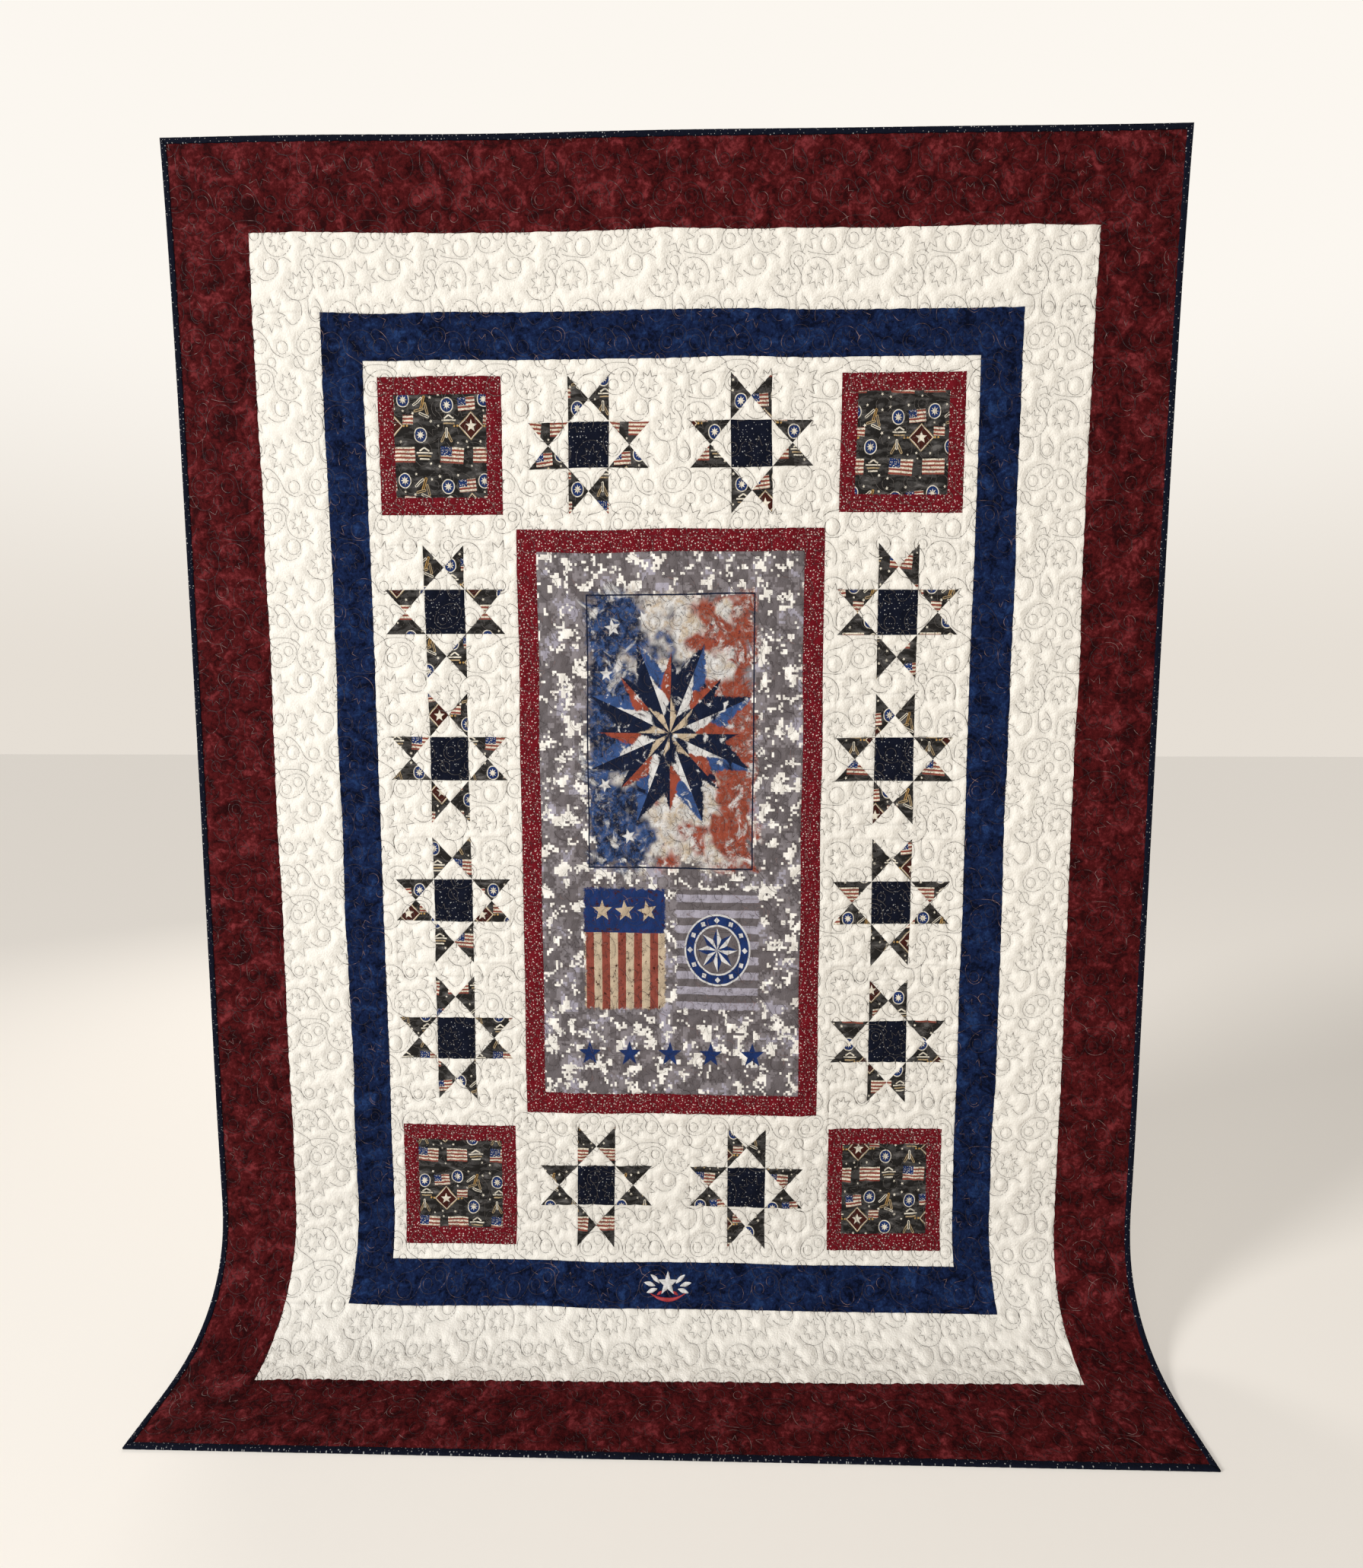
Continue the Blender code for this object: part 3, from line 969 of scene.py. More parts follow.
def make_printed_star():
    """A printed star: how far inside it a place lies, and a mask of every second half of its rays."""
    takes = "Vector: Vector, Middle: Vector, Tips: Float, Radius: Float, Waist: Float, Turn: Float"
    group, given, out = new_group("printed_star", takes, "Inside: Float, Facet: Float")
    local = move(group, "SUBTRACT", given["Vector"], given["Middle"])
    parts = parts_of(group, local)
    upwards = calc(group, "MULTIPLY", parts[1], -1.0)
    angle = calc(group, "ADD", calc(group, "ARCTAN2", parts[0], upwards), given["Turn"])
    half_ray = calc(group, "DIVIDE", math.pi, given["Tips"])
    from_tip = calc(group, "PINGPONG", angle, half_ray)
    radius = given["Radius"]
    waist = calc(group, "MULTIPLY", radius, given["Waist"])
    top = calc(group, "MULTIPLY", calc(group, "MULTIPLY", radius, waist), calc(group, "SINE", half_ray))
    to_waist = calc(group, "SUBTRACT", half_ray, from_tip)
    near_waist = calc(group, "MULTIPLY", radius, calc(group, "SINE", from_tip))
    near_tip = calc(group, "MULTIPLY", waist, calc(group, "SINE", to_waist))
    edge = calc(group, "DIVIDE", top, calc(group, "ADD", near_waist, near_tip))
    inside = calc(group, "SUBTRACT", edge, move(group, "LENGTH", local))
    half_rays = calc(group, "FRACT", calc(group, "DIVIDE", angle, calc(group, "MULTIPLY", half_ray, 2.0)))
    join(group, inside, out["Inside"])
    join(group, calc(group, "GREATER_THAN", half_rays, 0.5), out["Facet"])
    return group


printed_shape = make_printed_shape()
printed_star = make_printed_star()


def inked(tree, inside, deeper=0.0, edge=PRINT_EDGE):
    """Mask of a printed shape, from how far inside it a place lies."""
    return spread(tree, inside, deeper - edge, deeper + edge)


def in_plane(spot):
    """A place in the print as a vector."""
    return (spot[0], spot[1], 0.0)


def shape_in(tree, flat, middle, half, corner, lean=0.0):
    """A rectangle with rounded corners, laid in the print."""
    place_and_size = {"Middle": in_plane(middle), "Half_Size": in_plane(half)}
    return use(tree, printed_shape, Vector=flat, **place_and_size, Corner=corner, Turn=lean)


def star_in(tree, flat, middle, tips, radius, waist, lean=0.0):
    """A star, laid in the print."""
    form = {"Tips": tips, "Radius": radius, "Waist": waist, "Turn": lean}
    return use(tree, printed_star, Vector=flat, Middle=in_plane(middle), **form)


def ragged(tree, inside, tone, amount):
    """How far inside a shape a place lies, with an edge that random tones wear away."""
    return calc(tree, "MULTIPLY_ADD", calc(tree, "SUBTRACT", tone, 0.5), amount, inside)


def ink_layers(tree, inside, colour, *layers):
    """Prints inks over a colour, each from its own depth inside a shape."""
    for deeper, ink in layers:
        colour = dye(tree, inked(tree, inside, deeper), colour, ink)
    return colour


def ink_shape(tree, flat, colour, middle, half, corner, *layers, lean=0.0):
    """Prints a rectangle with rounded corners in layers of ink."""
    return ink_layers(tree, shape_in(tree, flat, middle, half, corner, lean)["Inside"], colour, *layers)


def ink_star(tree, flat, colour, middle, radius, ink, tips=5.0, waist=0.42, lean=0.0, soft=PRINT_EDGE):
    """Prints a star in one ink."""
    star = star_in(tree, flat, middle, tips, radius, waist, lean)
    return dye(tree, inked(tree, star["Inside"], 0.0, soft), colour, ink)


def print_disc(tree, flat, colour, middle):
    """A navy disc with a cream ring, and a small cream star of eight rays in it."""
    inks = ((0.0, PRINT_CREAM), (DISC_RING, PRINT_NAVY))
    colour = ink_shape(tree, flat, colour, middle, DISC_HALF, min(DISC_HALF) - FULLY_ROUND, *inks)
    return ink_star(tree, flat, colour, middle, DISC_STAR, PRINT_CREAM, tips=8.0, waist=0.45)


def print_stripes(tree, flat, colour, middle, half, turn_angle, corner_square):
    """A worn block of brick and cream stripes; corner_square adds a navy corner with pale dots."""
    block = shape_in(tree, flat, middle, half, 0.02, turn_angle)
    parts = parts_of(tree, block["Local"])
    stripe = calc(tree, "FRACT", calc(tree, "DIVIDE", parts[1], STRIPE_PAIR))
    worn = noise(tree, flat, 7.0, 4.0, 0.7)
    cream = dye(tree, spread(tree, worn, 0.50, 0.62), PRINT_CREAM, PRINT_TAN)
    inks = dye(tree, calc(tree, "GREATER_THAN", stripe, 0.5), cream, PRINT_BRICK)
    if corner_square:
        across = calc(tree, "LESS_THAN", parts[0], -0.05 * half[0])
        up = calc(tree, "LESS_THAN", parts[1], 0.08)
        corner = calc(tree, "MULTIPLY", across, up)
        dots = use(tree, scattered_specks, Vector=flat, Scale=7.0, Size=0.20, Share=1.0)
        inks = dye(tree, corner, inks, dye(tree, dots["Mask"], PRINT_NAVY, PRINT_CREAM))
    kept = calc(tree, "MULTIPLY", inked(tree, block["Inside"]), spread(tree, worn, 0.70, 0.58))
    return dye(tree, kept, colour, inks)


def print_lozenge(tree, flat, colour):
    """An oxblood lozenge edged in tan and cream, with a cream star and a tan dot off each tip."""
    rounding = DOT_RADIUS - FULLY_ROUND
    for side in (-1, 1):
        for reach in LOZENGE_DOTS:
            spot = (LOZENGE_MIDDLE[0] + reach * side, LOZENGE_MIDDLE[1])
            half = (DOT_RADIUS, DOT_RADIUS)
            colour = ink_shape(tree, flat, colour, spot, half, rounding, (0.0, PRINT_GOLD))
    lozenge = star_in(tree, flat, LOZENGE_MIDDLE, 4.0, LOZENGE_REACH, 0.72)
    inks = ((0.0, PRINT_TAN), (0.06, PRINT_CREAM), (0.10, PRINT_OXBLOOD))
    colour = ink_layers(tree, lozenge["Inside"], colour, *inks)
    return ink_star(tree, flat, colour, LOZENGE_MIDDLE, LOZENGE_STAR, PRINT_CREAM)


def print_ladder(tree, flat, colour, middle, halves):
    """Cream and tan bars under a small cream chevron."""
    for step, half in enumerate(halves):
        ink = PRINT_CREAM if step % 2 == 0 else PRINT_TAN
        spot = (middle[0], middle[1] + BAR_STEP * step)
        colour = ink_shape(tree, flat, colour, spot, (half, BAR_HALF_HEIGHT), 0.01, (0.0, ink))
    for side in (-1, 1):
        spot = (middle[0] + CHEVRON_PLACE[0] * side, middle[1] + CHEVRON_PLACE[1])
        lean = math.radians(-CHEVRON_LEAN * side)
        colour = ink_shape(tree, flat, colour, spot, CHEVRON_ARM, 0.01, (0.0, PRINT_CREAM), lean=lean)
    return colour


def smoky_ground(tree, flat):
    """Long smoky clouds on charcoal."""
    long_clouds = move(tree, "MULTIPLY", flat, (0.75, 1.9, 1.0))
    smoke = noise(tree, long_clouds, 1.25, 4.0, 0.55, 0.3)
    colour = dye(tree, spread(tree, smoke, 0.47, 0.53), CHARCOAL, SMOKE)
    return dye(tree, spread(tree, smoke, 0.58, 0.68), colour, ASH)


def inches_on_cloth(tree, origin=(0.0, 0.0)):
    """Place on the flat cloth in inches of the layout, across and down, from an origin in inches."""
    scaled = move(tree, "MULTIPLY", cloth_vector(tree), (1.0 / INCH, -1.0 / (INCH * LENGTHWISE), 0.0))
    return move(tree, "SUBTRACT", scaled, (origin[0], origin[1], 0.0))


def make_star_print():
    """The small print: discs, a lozenge, striped blocks, leaves, bars and stars on smoky charcoal."""
    material, tree, shader = new_material("star_print")
    everywhere = inches_on_cloth(tree)
    flat = move(tree, "WRAP", everywhere, (*PRINT_REPEAT, 1.0), (0.0, 0.0, -1.0))
    colour = smoky_ground(tree, everywhere)
    for row in PRINTED_LEAVES:
        half = (row["length"], LEAF_HALF_WIDTH)
        inks = ((0.0, row["colour"]), (LEAF_EDGE, CHARCOAL))
        lean = math.radians(row["turn"])
        colour = ink_shape(tree, flat, colour, row["middle"], half, 0.08, *inks, lean=lean)
    for row in PRINTED_BLOCKS:
        lean = math.radians(row["turn"])
        colour = print_stripes(tree, flat, colour, row["middle"], row["half"], lean, row["dotted"])
    for row in PRINTED_LADDERS:
        colour = print_ladder(tree, flat, colour, row["middle"], row["halves"])
    colour = print_lozenge(tree, flat, colour)
    for middle in PRINTED_DISCS:
        colour = print_disc(tree, flat, colour, middle)
    for row in PRINTED_STARS:
        lean = math.radians(row["turn"])
        colour = ink_star(tree, flat, colour, row["middle"], row["radius"], PRINT_CREAM, lean=lean)
    finish_cotton(tree, shader, colour)
    return material


star_print = make_star_print()
STAR_PRINT_STEP = (0.037, 0.051)


def sew_stars():
    """The print points of each star, and all the speckled middles as one piece."""
    for index, middle in enumerate(star_middles):
        points = []
        for column, row, *_ in star_units:
            sides = ("left", "right") if column == 0 else ("top", "bottom")
            points += [(*unit_edges(middle, column, row), side) for side in sides]
        shift = (STAR_PRINT_STEP[0] * (index % 4), STAR_PRINT_STEP[1] * (index % 3))
        lay_patches(f"star_points_{index + 1:02d}", points, star_print, shift)
    centres = [unit_edges(middle, 0, 0) for middle in star_middles]
    lay_patches("star_centres", centres, speckled_navy)


sew_stars()

# The corner blocks
# Four large print squares, each framed by four strips of bright wine-red cotton with dense cream specks.
CORNER_FRAME = 7 / 6
CORNER_PRINT_STEP = (0.043, 0.029)
BRIGHT_RED = (0.130, 0.0060, 0.0110, 1.0)
RED_SPECK = (0.60, 0.48, 0.43, 1.0)
RED_SPECKS = ((300.0, 0.12, 0.25), (150.0, 0.145, 0.80))
speckled_red = speckled_cotton("speckled_red", BRIGHT_RED, RED_SPECK, RED_SPECKS)


def frame_strips(left, right, top, bottom, width):
    """Four strips inside a rectangle, the side strips first."""
    return [
        (left, left + width, top + width, bottom - width),
        (right - width, right, top + width, bottom - width),
        (left, right, top, top + width),
        (left, right, bottom - width, bottom),
    ]


def sew_corner_blocks():
    """The four print squares, and their frames as one piece."""
    frames = []
    for index, (across, down) in enumerate(corner_middles):
        frames += frame_strips(*square(across, down, half_block), CORNER_FRAME)
        middle = square(across, down, half_block - CORNER_FRAME)
        shift = (CORNER_PRINT_STEP[0] * index, CORNER_PRINT_STEP[1] * index)
        lay_patches(f"corner_print_{index + 1}", [middle], star_print, shift)
    lay_patches("corner_frames", frames, speckled_red)


sew_corner_blocks()

# The centre panel
# One printed length of cotton in a narrow frame of the speckled red.
PANEL_FRAME = 1.5
PANEL_FIRST = PANEL_FRAME_FIRST + PANEL_FRAME
BLOCKY_DARK = (0.1250, 0.1080, 0.1120, 1.0)
BLOCKY_MIDDLE = (0.2050, 0.1820, 0.1900, 1.0)
BLOCKY_LAVENDER = (0.3300, 0.3050, 0.3550, 1.0)
BLOCKY_CREAM = (0.8000, 0.7600, 0.7000, 1.0)
WASH_BLUE = (0.0360, 0.0740, 0.1950, 1.0)
WASH_NAVY = (0.0080, 0.0120, 0.0300, 1.0)
WASH_RED = (0.2600, 0.0560, 0.0320, 1.0)
WASH_SAND = (0.4700, 0.3700, 0.2600, 1.0)
WASH_WHITE = (0.6000, 0.5800, 0.5600, 1.0)
WASH_STONE = (0.2100, 0.1850, 0.1750, 1.0)
PRINTED_SQUARE = 0.17
PICTURE_MIDDLE = (0.0, 12.2)
PICTURE_HALF = (6.3, 9.4)
LEFT_TILE = (-3.55, 27.4)
RIGHT_TILE = (3.65, 27.4)
TILE_HALF = (3.15, 4.3)
LOW_STARS = (-6.4, -3.2, 0.0, 3.2, 6.4)
LOW_STAR_DOWN = 35.0
LOW_STAR = 0.95
TILE_ROUNDING = 0.05
TILE_STRIPE_PAIR = 1.26
TILE_BAR_PAIR = 1.10
TILE_PHASE = 10.0
TILE_FIELD_END = -1.15
TILE_STARS = (-1.75, 0.0, 1.75)
TILE_STARS_UP = 2.70
TILE_STAR = 0.78
RING_RADIUS = 2.55
RING_INKS = ((0.0, WASH_WHITE), (0.13, PRINT_NAVY), (0.75, WASH_WHITE), (0.88, BLOCKY_DARK))
RING_STAR = 1.58
DIAMONDS = 12
DIAMOND_RING = 2.11
DIAMOND = 0.22
COMPASS_LAYERS = table(
    "radius waist lean light dark",
    (6.6, 0.56, math.pi / 8, WASH_BLUE, WASH_NAVY),
    (5.4, 0.50, 0.0, WASH_NAVY, WASH_RED),
    (4.4, 0.46, math.pi / 8, WASH_WHITE, WASH_NAVY),
    (2.4, 0.52, 0.0, WASH_SAND, WASH_NAVY),
)
SKY_STARS = table(
    "middle radius turn",
    ((-4.4, 5.0), 0.62, 10),
    ((-2.1, 4.3), 0.48, 24),
    ((-4.9, 8.2), 0.52, 0),
    ((-5.0, 15.8), 0.50, 30),
    ((-3.2, 19.4), 0.55, 16),
)


def blocky_ground(tree, flat):
    """Small squares of grey, lavender and cream in ragged clusters."""
    squares = move(tree, "SNAP", flat, (PRINTED_SQUARE, PRINTED_SQUARE, 1.0))
    broad = noise(tree, squares, 0.80, 4.0, 0.74)
    other = noise(tree, move(tree, "ADD", squares, (31.0, 17.0, 0.0)), 0.50, 4.0, 0.70)
    colour = dye(tree, calc(tree, "GREATER_THAN", other, 0.50), BLOCKY_DARK, BLOCKY_MIDDLE)
    colour = dye(tree, calc(tree, "GREATER_THAN", other, 0.585), colour, BLOCKY_LAVENDER)
    return dye(tree, calc(tree, "GREATER_THAN", broad, 0.548), colour, BLOCKY_CREAM)


def paint_picture(tree, flat, colour):
    """A washed sky of blue, sand and red with a large compass star, in a thin dark line."""
    frame_shape = shape_in(tree, flat, PICTURE_MIDDLE, PICTURE_HALF, 0.02)
    parts = parts_of(tree, frame_shape["Local"])
    wash = noise(tree, flat, 0.42, 6.0, 0.66, 0.8)
    spots = noise(tree, move(tree, "ADD", flat, (9.0, 5.0, 0.0)), 1.1, 6.0, 0.72, 0.6)
    drift = noise(tree, move(tree, "ADD", flat, (3.0, 41.0, 0.0)), 0.22, 3.0, 0.6)
    sideways = calc(tree, "MULTIPLY_ADD", parts[0], 0.060, 0.5)
    sideways = calc(tree, "ADD", sideways, calc(tree, "MULTIPLY", calc(tree, "SUBTRACT", drift, 0.5), 1.5))
    blue = dye(tree, spread(tree, spots, 0.40, 0.62), WASH_NAVY, WASH_BLUE)
    blue = dye(tree, spread(tree, wash, 0.54, 0.66), blue, WASH_WHITE)
    sand = dye(tree, spread(tree, spots, 0.40, 0.66), WASH_WHITE, WASH_SAND)
    red = dye(tree, spread(tree, spots, 0.42, 0.60), WASH_RED, WASH_WHITE)
    red = dye(tree, spread(tree, wash, 0.58, 0.50), red, WASH_RED)
    painted = dye(tree, spread(tree, sideways, 0.34, 0.50), blue, sand)
    painted = dye(tree, spread(tree, sideways, 0.58, 0.70), painted, red)
    splatter = noise(tree, move(tree, "ADD", flat, (19.0, 27.0, 0.0)), 2.4, 8.0, 0.78, 0.4)
    painted = dye(tree, spread(tree, splatter, 0.52, 0.60, 0.0, 0.60), painted, WASH_STONE)
    painted = dye(tree, spread(tree, splatter, 0.43, 0.36, 0.0, 0.80), painted, WASH_NAVY)
    kept = inked(tree, ragged(tree, frame_shape["Inside"], wash, 5.5), 0.0, 0.35)
    colour = dye(tree, kept, colour, painted)
    for row in SKY_STARS:
        lean = math.radians(row["turn"])
        colour = ink_star(tree, flat, colour, row["middle"], row["radius"], WASH_WHITE, lean=lean, soft=0.06)
    brushed = calc(tree, "MULTIPLY", calc(tree, "SUBTRACT", spots, 0.5), 2.2)
    for row in COMPASS_LAYERS:
        star = star_in(tree, flat, PICTURE_MIDDLE, 8.0, row["radius"], row["waist"], row["lean"])
        edge = calc(tree, "ADD", star["Inside"], brushed)
        shades = dye(tree, star["Facet"], row["light"], row["dark"])
        shades = dye(tree, spread(tree, spots, 0.57, 0.66), shades, WASH_WHITE)
        shades = dye(tree, spread(tree, wash, 0.44, 0.36), shades, WASH_NAVY)
        colour = dye(tree, inked(tree, edge, 0.0, 0.12), colour, shades)
    line = calc(tree, "SUBTRACT", 0.055, calc(tree, "ABSOLUTE", frame_shape["Inside"]))
    return dye(tree, inked(tree, line), colour, WASH_NAVY)


def repeat(tree, value, length):
    """Share of a repeat's length, 0 to 1, along one of a tile's directions."""
    return calc(tree, "FRACT", calc(tree, "DIVIDE", calc(tree, "ADD", value, TILE_PHASE), length))


def print_striped_tile(tree, flat, colour):
    """Upright brick and sand stripes under a navy field with three sand stars, rubbed and aged."""
    tile = shape_in(tree, flat, LEFT_TILE, TILE_HALF, TILE_ROUNDING)
    parts = parts_of(tree, tile["Local"])
    rubbed = noise(tree, flat, 2.2, 6.0, 0.75, 0.2)
    stripe = repeat(tree, parts[0], TILE_STRIPE_PAIR)
    inks = dye(tree, calc(tree, "GREATER_THAN", stripe, 0.5), WASH_SAND, PRINT_BRICK)
    inks = dye(tree, calc(tree, "LESS_THAN", parts[1], TILE_FIELD_END), inks, PRINT_NAVY)
    for step, across in enumerate(TILE_STARS):
        middle = (LEFT_TILE[0] + across, LEFT_TILE[1] - TILE_STARS_UP)
        inks = ink_star(tree, flat, inks, middle, TILE_STAR, WASH_SAND, lean=0.1 * step, soft=0.02)
    inks = dye(tree, spread(tree, rubbed, 0.55, 0.64), inks, PRINT_OXBLOOD)
    kept = inked(tree, ragged(tree, tile["Inside"], rubbed, 1.2), 0.0, 0.06)
    return dye(tree, kept, colour, inks)


def print_ringed_tile(tree, flat, colour):
    """A grey tile with pale bars, and a navy ring of small diamonds round a star."""
    tile = shape_in(tree, flat, RIGHT_TILE, TILE_HALF, TILE_ROUNDING)
    parts = parts_of(tree, tile["Local"])
    rubbed = noise(tree, move(tree, "ADD", flat, (7.0, 3.0, 0.0)), 2.6, 6.0, 0.75, 0.2)
    bar = repeat(tree, parts[1], TILE_BAR_PAIR)
    inks = dye(tree, calc(tree, "GREATER_THAN", bar, 0.5), BLOCKY_DARK, BLOCKY_LAVENDER)
    inks = dye(tree, spread(tree, rubbed, 0.56, 0.66), inks, BLOCKY_DARK)
    rounding = RING_RADIUS - FULLY_ROUND
    inks = ink_shape(tree, flat, inks, RIGHT_TILE, (RING_RADIUS, RING_RADIUS), rounding, *RING_INKS)
    star = star_in(tree, flat, RIGHT_TILE, 8.0, RING_STAR, 0.52)
    inks = dye(tree, inked(tree, star["Inside"]), inks, dye(tree, star["Facet"], WASH_WHITE, PRINT_NAVY))
    for step in range(DIAMONDS):
        angle = math.tau * step / DIAMONDS
        across = RIGHT_TILE[0] + DIAMOND_RING * math.sin(angle)
        spot = (across, RIGHT_TILE[1] - DIAMOND_RING * math.cos(angle))
        inks = ink_star(tree, flat, inks, spot, DIAMOND, WASH_WHITE, tips=4.0, waist=0.70, lean=angle)
    kept = inked(tree, ragged(tree, tile["Inside"], rubbed, 1.0), 0.0, 0.05)
    return dye(tree, kept, colour, inks)


def make_panel_print():
    """The whole printed length: its ground, the picture, the two tiles and the row of stars."""
    material, tree, shader = new_material("panel_print")
    flat = inches_on_cloth(tree, (0.0, PANEL_FIRST))
    colour = blocky_ground(tree, flat)
    colour = paint_picture(tree, flat, colour)
    colour = print_striped_tile(tree, flat, colour)
    colour = print_ringed_tile(tree, flat, colour)
    for across in LOW_STARS:
        colour = ink_star(tree, flat, colour, (across, LOW_STAR_DOWN), LOW_STAR, PRINT_NAVY, waist=0.40)
    finish_cotton(tree, shader, colour)
    return material


panel_print = make_panel_print()


def sew_panel():
    """The frame and the printed length inside it."""
    half = PANEL_FRAME_HALF_WIDTH
    frame_edges = (-half, half, PANEL_FRAME_FIRST, PANEL_FRAME_LAST)
    lay_patches("panel_frame", frame_strips(*frame_edges, PANEL_FRAME), speckled_red)
    inner = half - PANEL_FRAME
    printed = (-inner, inner, PANEL_FIRST, PANEL_FRAME_LAST - PANEL_FRAME)
    lay_patches("centre_panel", [printed], panel_print)


sew_panel()

# The quilting thread
# One line of brown-grey polyester, machine-stitched in rows from edge to edge through all the layers.
# It lies at the bottom of the furrows that it pulls into the cloth, on both faces.
THREAD_SECTION = ((-0.00050, -0.00022), (0.0, 0.00028), (0.00050, -0.00022))
BACK_THREAD_SECTION = ((-0.00038, 0.00020), (0.00038, 0.00020))
THREAD_END = 0.007
THREAD_COLOUR = (0.090, 0.077, 0.067, 1.0)
NEEDLE_HOLE_SHADE = (0.045, 0.037, 0.033, 1.0)
PAINTED_SHADE_ON_DARK_CLOTH = (0.026, 0.016, 0.018, 1.0)
PAINTED_GLINT_COLOUR = (0.200, 0.125, 0.115, 1.0)
PAINTED_GLINTS_PER_METRE = 42.0
STITCH_LENGTH = 0.0026
RUN_SLACK = 0.35


def net_value(net, across, down):
    """A value of the net between its points, for places in metres."""
    column = np.clip(across / CELL_ACROSS + HALF_CELLS, 0.0, 2 * HALF_CELLS - 1e-6)
    row = np.clip(down / CELL_DOWN, 0.0, LENGTH_CELLS - 1e-6)
    left = column.astype(int)
    upper = row.astype(int)
    u = column - left
    v = row - upper
    top = net[upper, left] * (1.0 - u) + net[upper, left + 1] * u
    bottom = net[upper + 1, left] * (1.0 - u) + net[upper + 1, left + 1] * u
    return top * (1.0 - v) + bottom * v


def place_on_quilt(across, down, lift):
    """Points in space of places on the net, where the cloth wanders with its seams."""
    on_cloth = (net_value(cloth_across, across, down), net_value(cloth_down, across, down))
    return place(*on_cloth, lift)


def split_long_runs(line):
    """The same line with a point about every STITCH_RUN, so that it can follow the furrow."""
    points = []
    for start, end in zip(line, line[1:]):
        steps = max(1, math.ceil(math.dist(start, end) / STITCH_RUN - RUN_SLACK))
        for step in range(steps):
            part = step / steps
            points.append((start[0] + (end[0] - start[0]) * part, start[1] + (end[1] - start[1]) * part))
    return [*points, line[-1]]


def line_curve(name, lines):
    """A flat poly curve through lines of points."""
    data = bpy.data.curves.new(name, "CURVE")
    data.dimensions = "3D"
    for line in lines:
        spline = data.splines.new("POLY")
        spline.points.add(len(line) - 1)
        for point, (across, down) in zip(spline.points, line):
            point.co = (across * INCH, -down * INCH * LENGTHWISE, 0.0, 1.0)
    return add_object(name, data)


def one_repeat_of_thread(spots):
    """The thread of one repeat as a flat mesh in metres, with down as -y; spots are its cross-section."""
    section = line_curve("thread_section", [[(0.0, 0.0)] * len(spots)])
    for point, (x, y) in zip(section.data.splines[0].points, spots):
        point.co = (x, y, 0.0, 1.0)
    lines = [split_long_runs(line) for line in stitch_lines]
    path = line_curve("thread_path", lines)
    path.data.twist_mode = "Z_UP"
    path.data.bevel_mode = "OBJECT"
    path.data.bevel_object = section
    mesh = bpy.data.meshes.new_from_object(path.evaluated_get(bpy.context.evaluated_depsgraph_get()))
    bpy.data.objects.remove(path)
    bpy.data.objects.remove(section)
    lengths = []
    for line in lines:
        runs = [math.dist(start, end) * INCH for start, end in zip(line, line[1:])]
        lengths += [np.cumsum([0.0, *runs])]
    store_value(mesh, "along", np.repeat(np.concatenate(lengths), len(spots)))
    return mesh


def on_dark_cloth(across, down):
    """1 where the thread lies on the burgundy, the navy or the centre panel, 0 on cream."""
    across = np.abs(across) / INCH
    down = down / (INCH * LENGTHWISE)
    panel_edge = (PANEL_FRAME_HALF_WIDTH, PANEL_FRAME_FIRST, PANEL_FRAME_LAST)
    inside = []
    for half, first, last in (white_edge, navy_edge, field_edge, panel_edge):
        inside.append((across < half) & (down > first) & (down < last))
    in_white, in_navy, in_field, in_panel = inside
    return ~in_white | (in_navy & ~in_field) | in_panel


def sew(name, rows, lifts, facing, repeat_mesh):
    """Rows of stitching laid in the furrows of one face; facing is 1 on the front and -1 on the back."""
    builder = bmesh.new()
    columns = math.ceil(2 * HALF_CELLS / REPEAT_CELLS_ACROSS)
    for row in rows:
        shift = (round(row * ROW_SHIFT * CELLS_PER_INCH) % REPEAT_CELLS_ACROSS) / CELLS_PER_INCH
        down = ROWS_FROM_TOP + row * REPEAT_DOWN
        for column in range(-2, columns + 1):
            across = column * REPEAT_ACROSS + shift - HALF_CELLS / CELLS_PER_INCH
            before = len(builder.verts)
            builder.from_mesh(repeat_mesh)
            builder.verts.ensure_lookup_table()
            step = Vector((across * INCH, -down * INCH * LENGTHWISE, 0.0))
            bmesh.ops.translate(builder, verts=builder.verts[before:], vec=step)
    side = QUILT_WIDTH / 2 - THREAD_END
    outside = [
        corner
        for corner in builder.verts
        if abs(corner.co.x) > side or not THREAD_END < -corner.co.y < QUILT_LENGTH - THREAD_END
    ]
    bmesh.ops.delete(builder, geom=outside, context="VERTS")
    if facing > 0:
        bmesh.ops.reverse_faces(builder, faces=builder.faces)
    mesh = mesh_from(builder, name)
    across, up, rise = points_of(mesh).T
    down = -up
    lift = net_value(lifts, across, down) + facing * rise
    # Where the thread lies on dark cloth, its finish paints it dark as shade, with painted glints.
    store_value(mesh, "painted_shade_and_glints", on_dark_cloth(across, down) * (facing > 0))
    move_points(mesh, place_on_quilt(across, down, lift))
    return finish_piece(mesh, name, thread_finish)


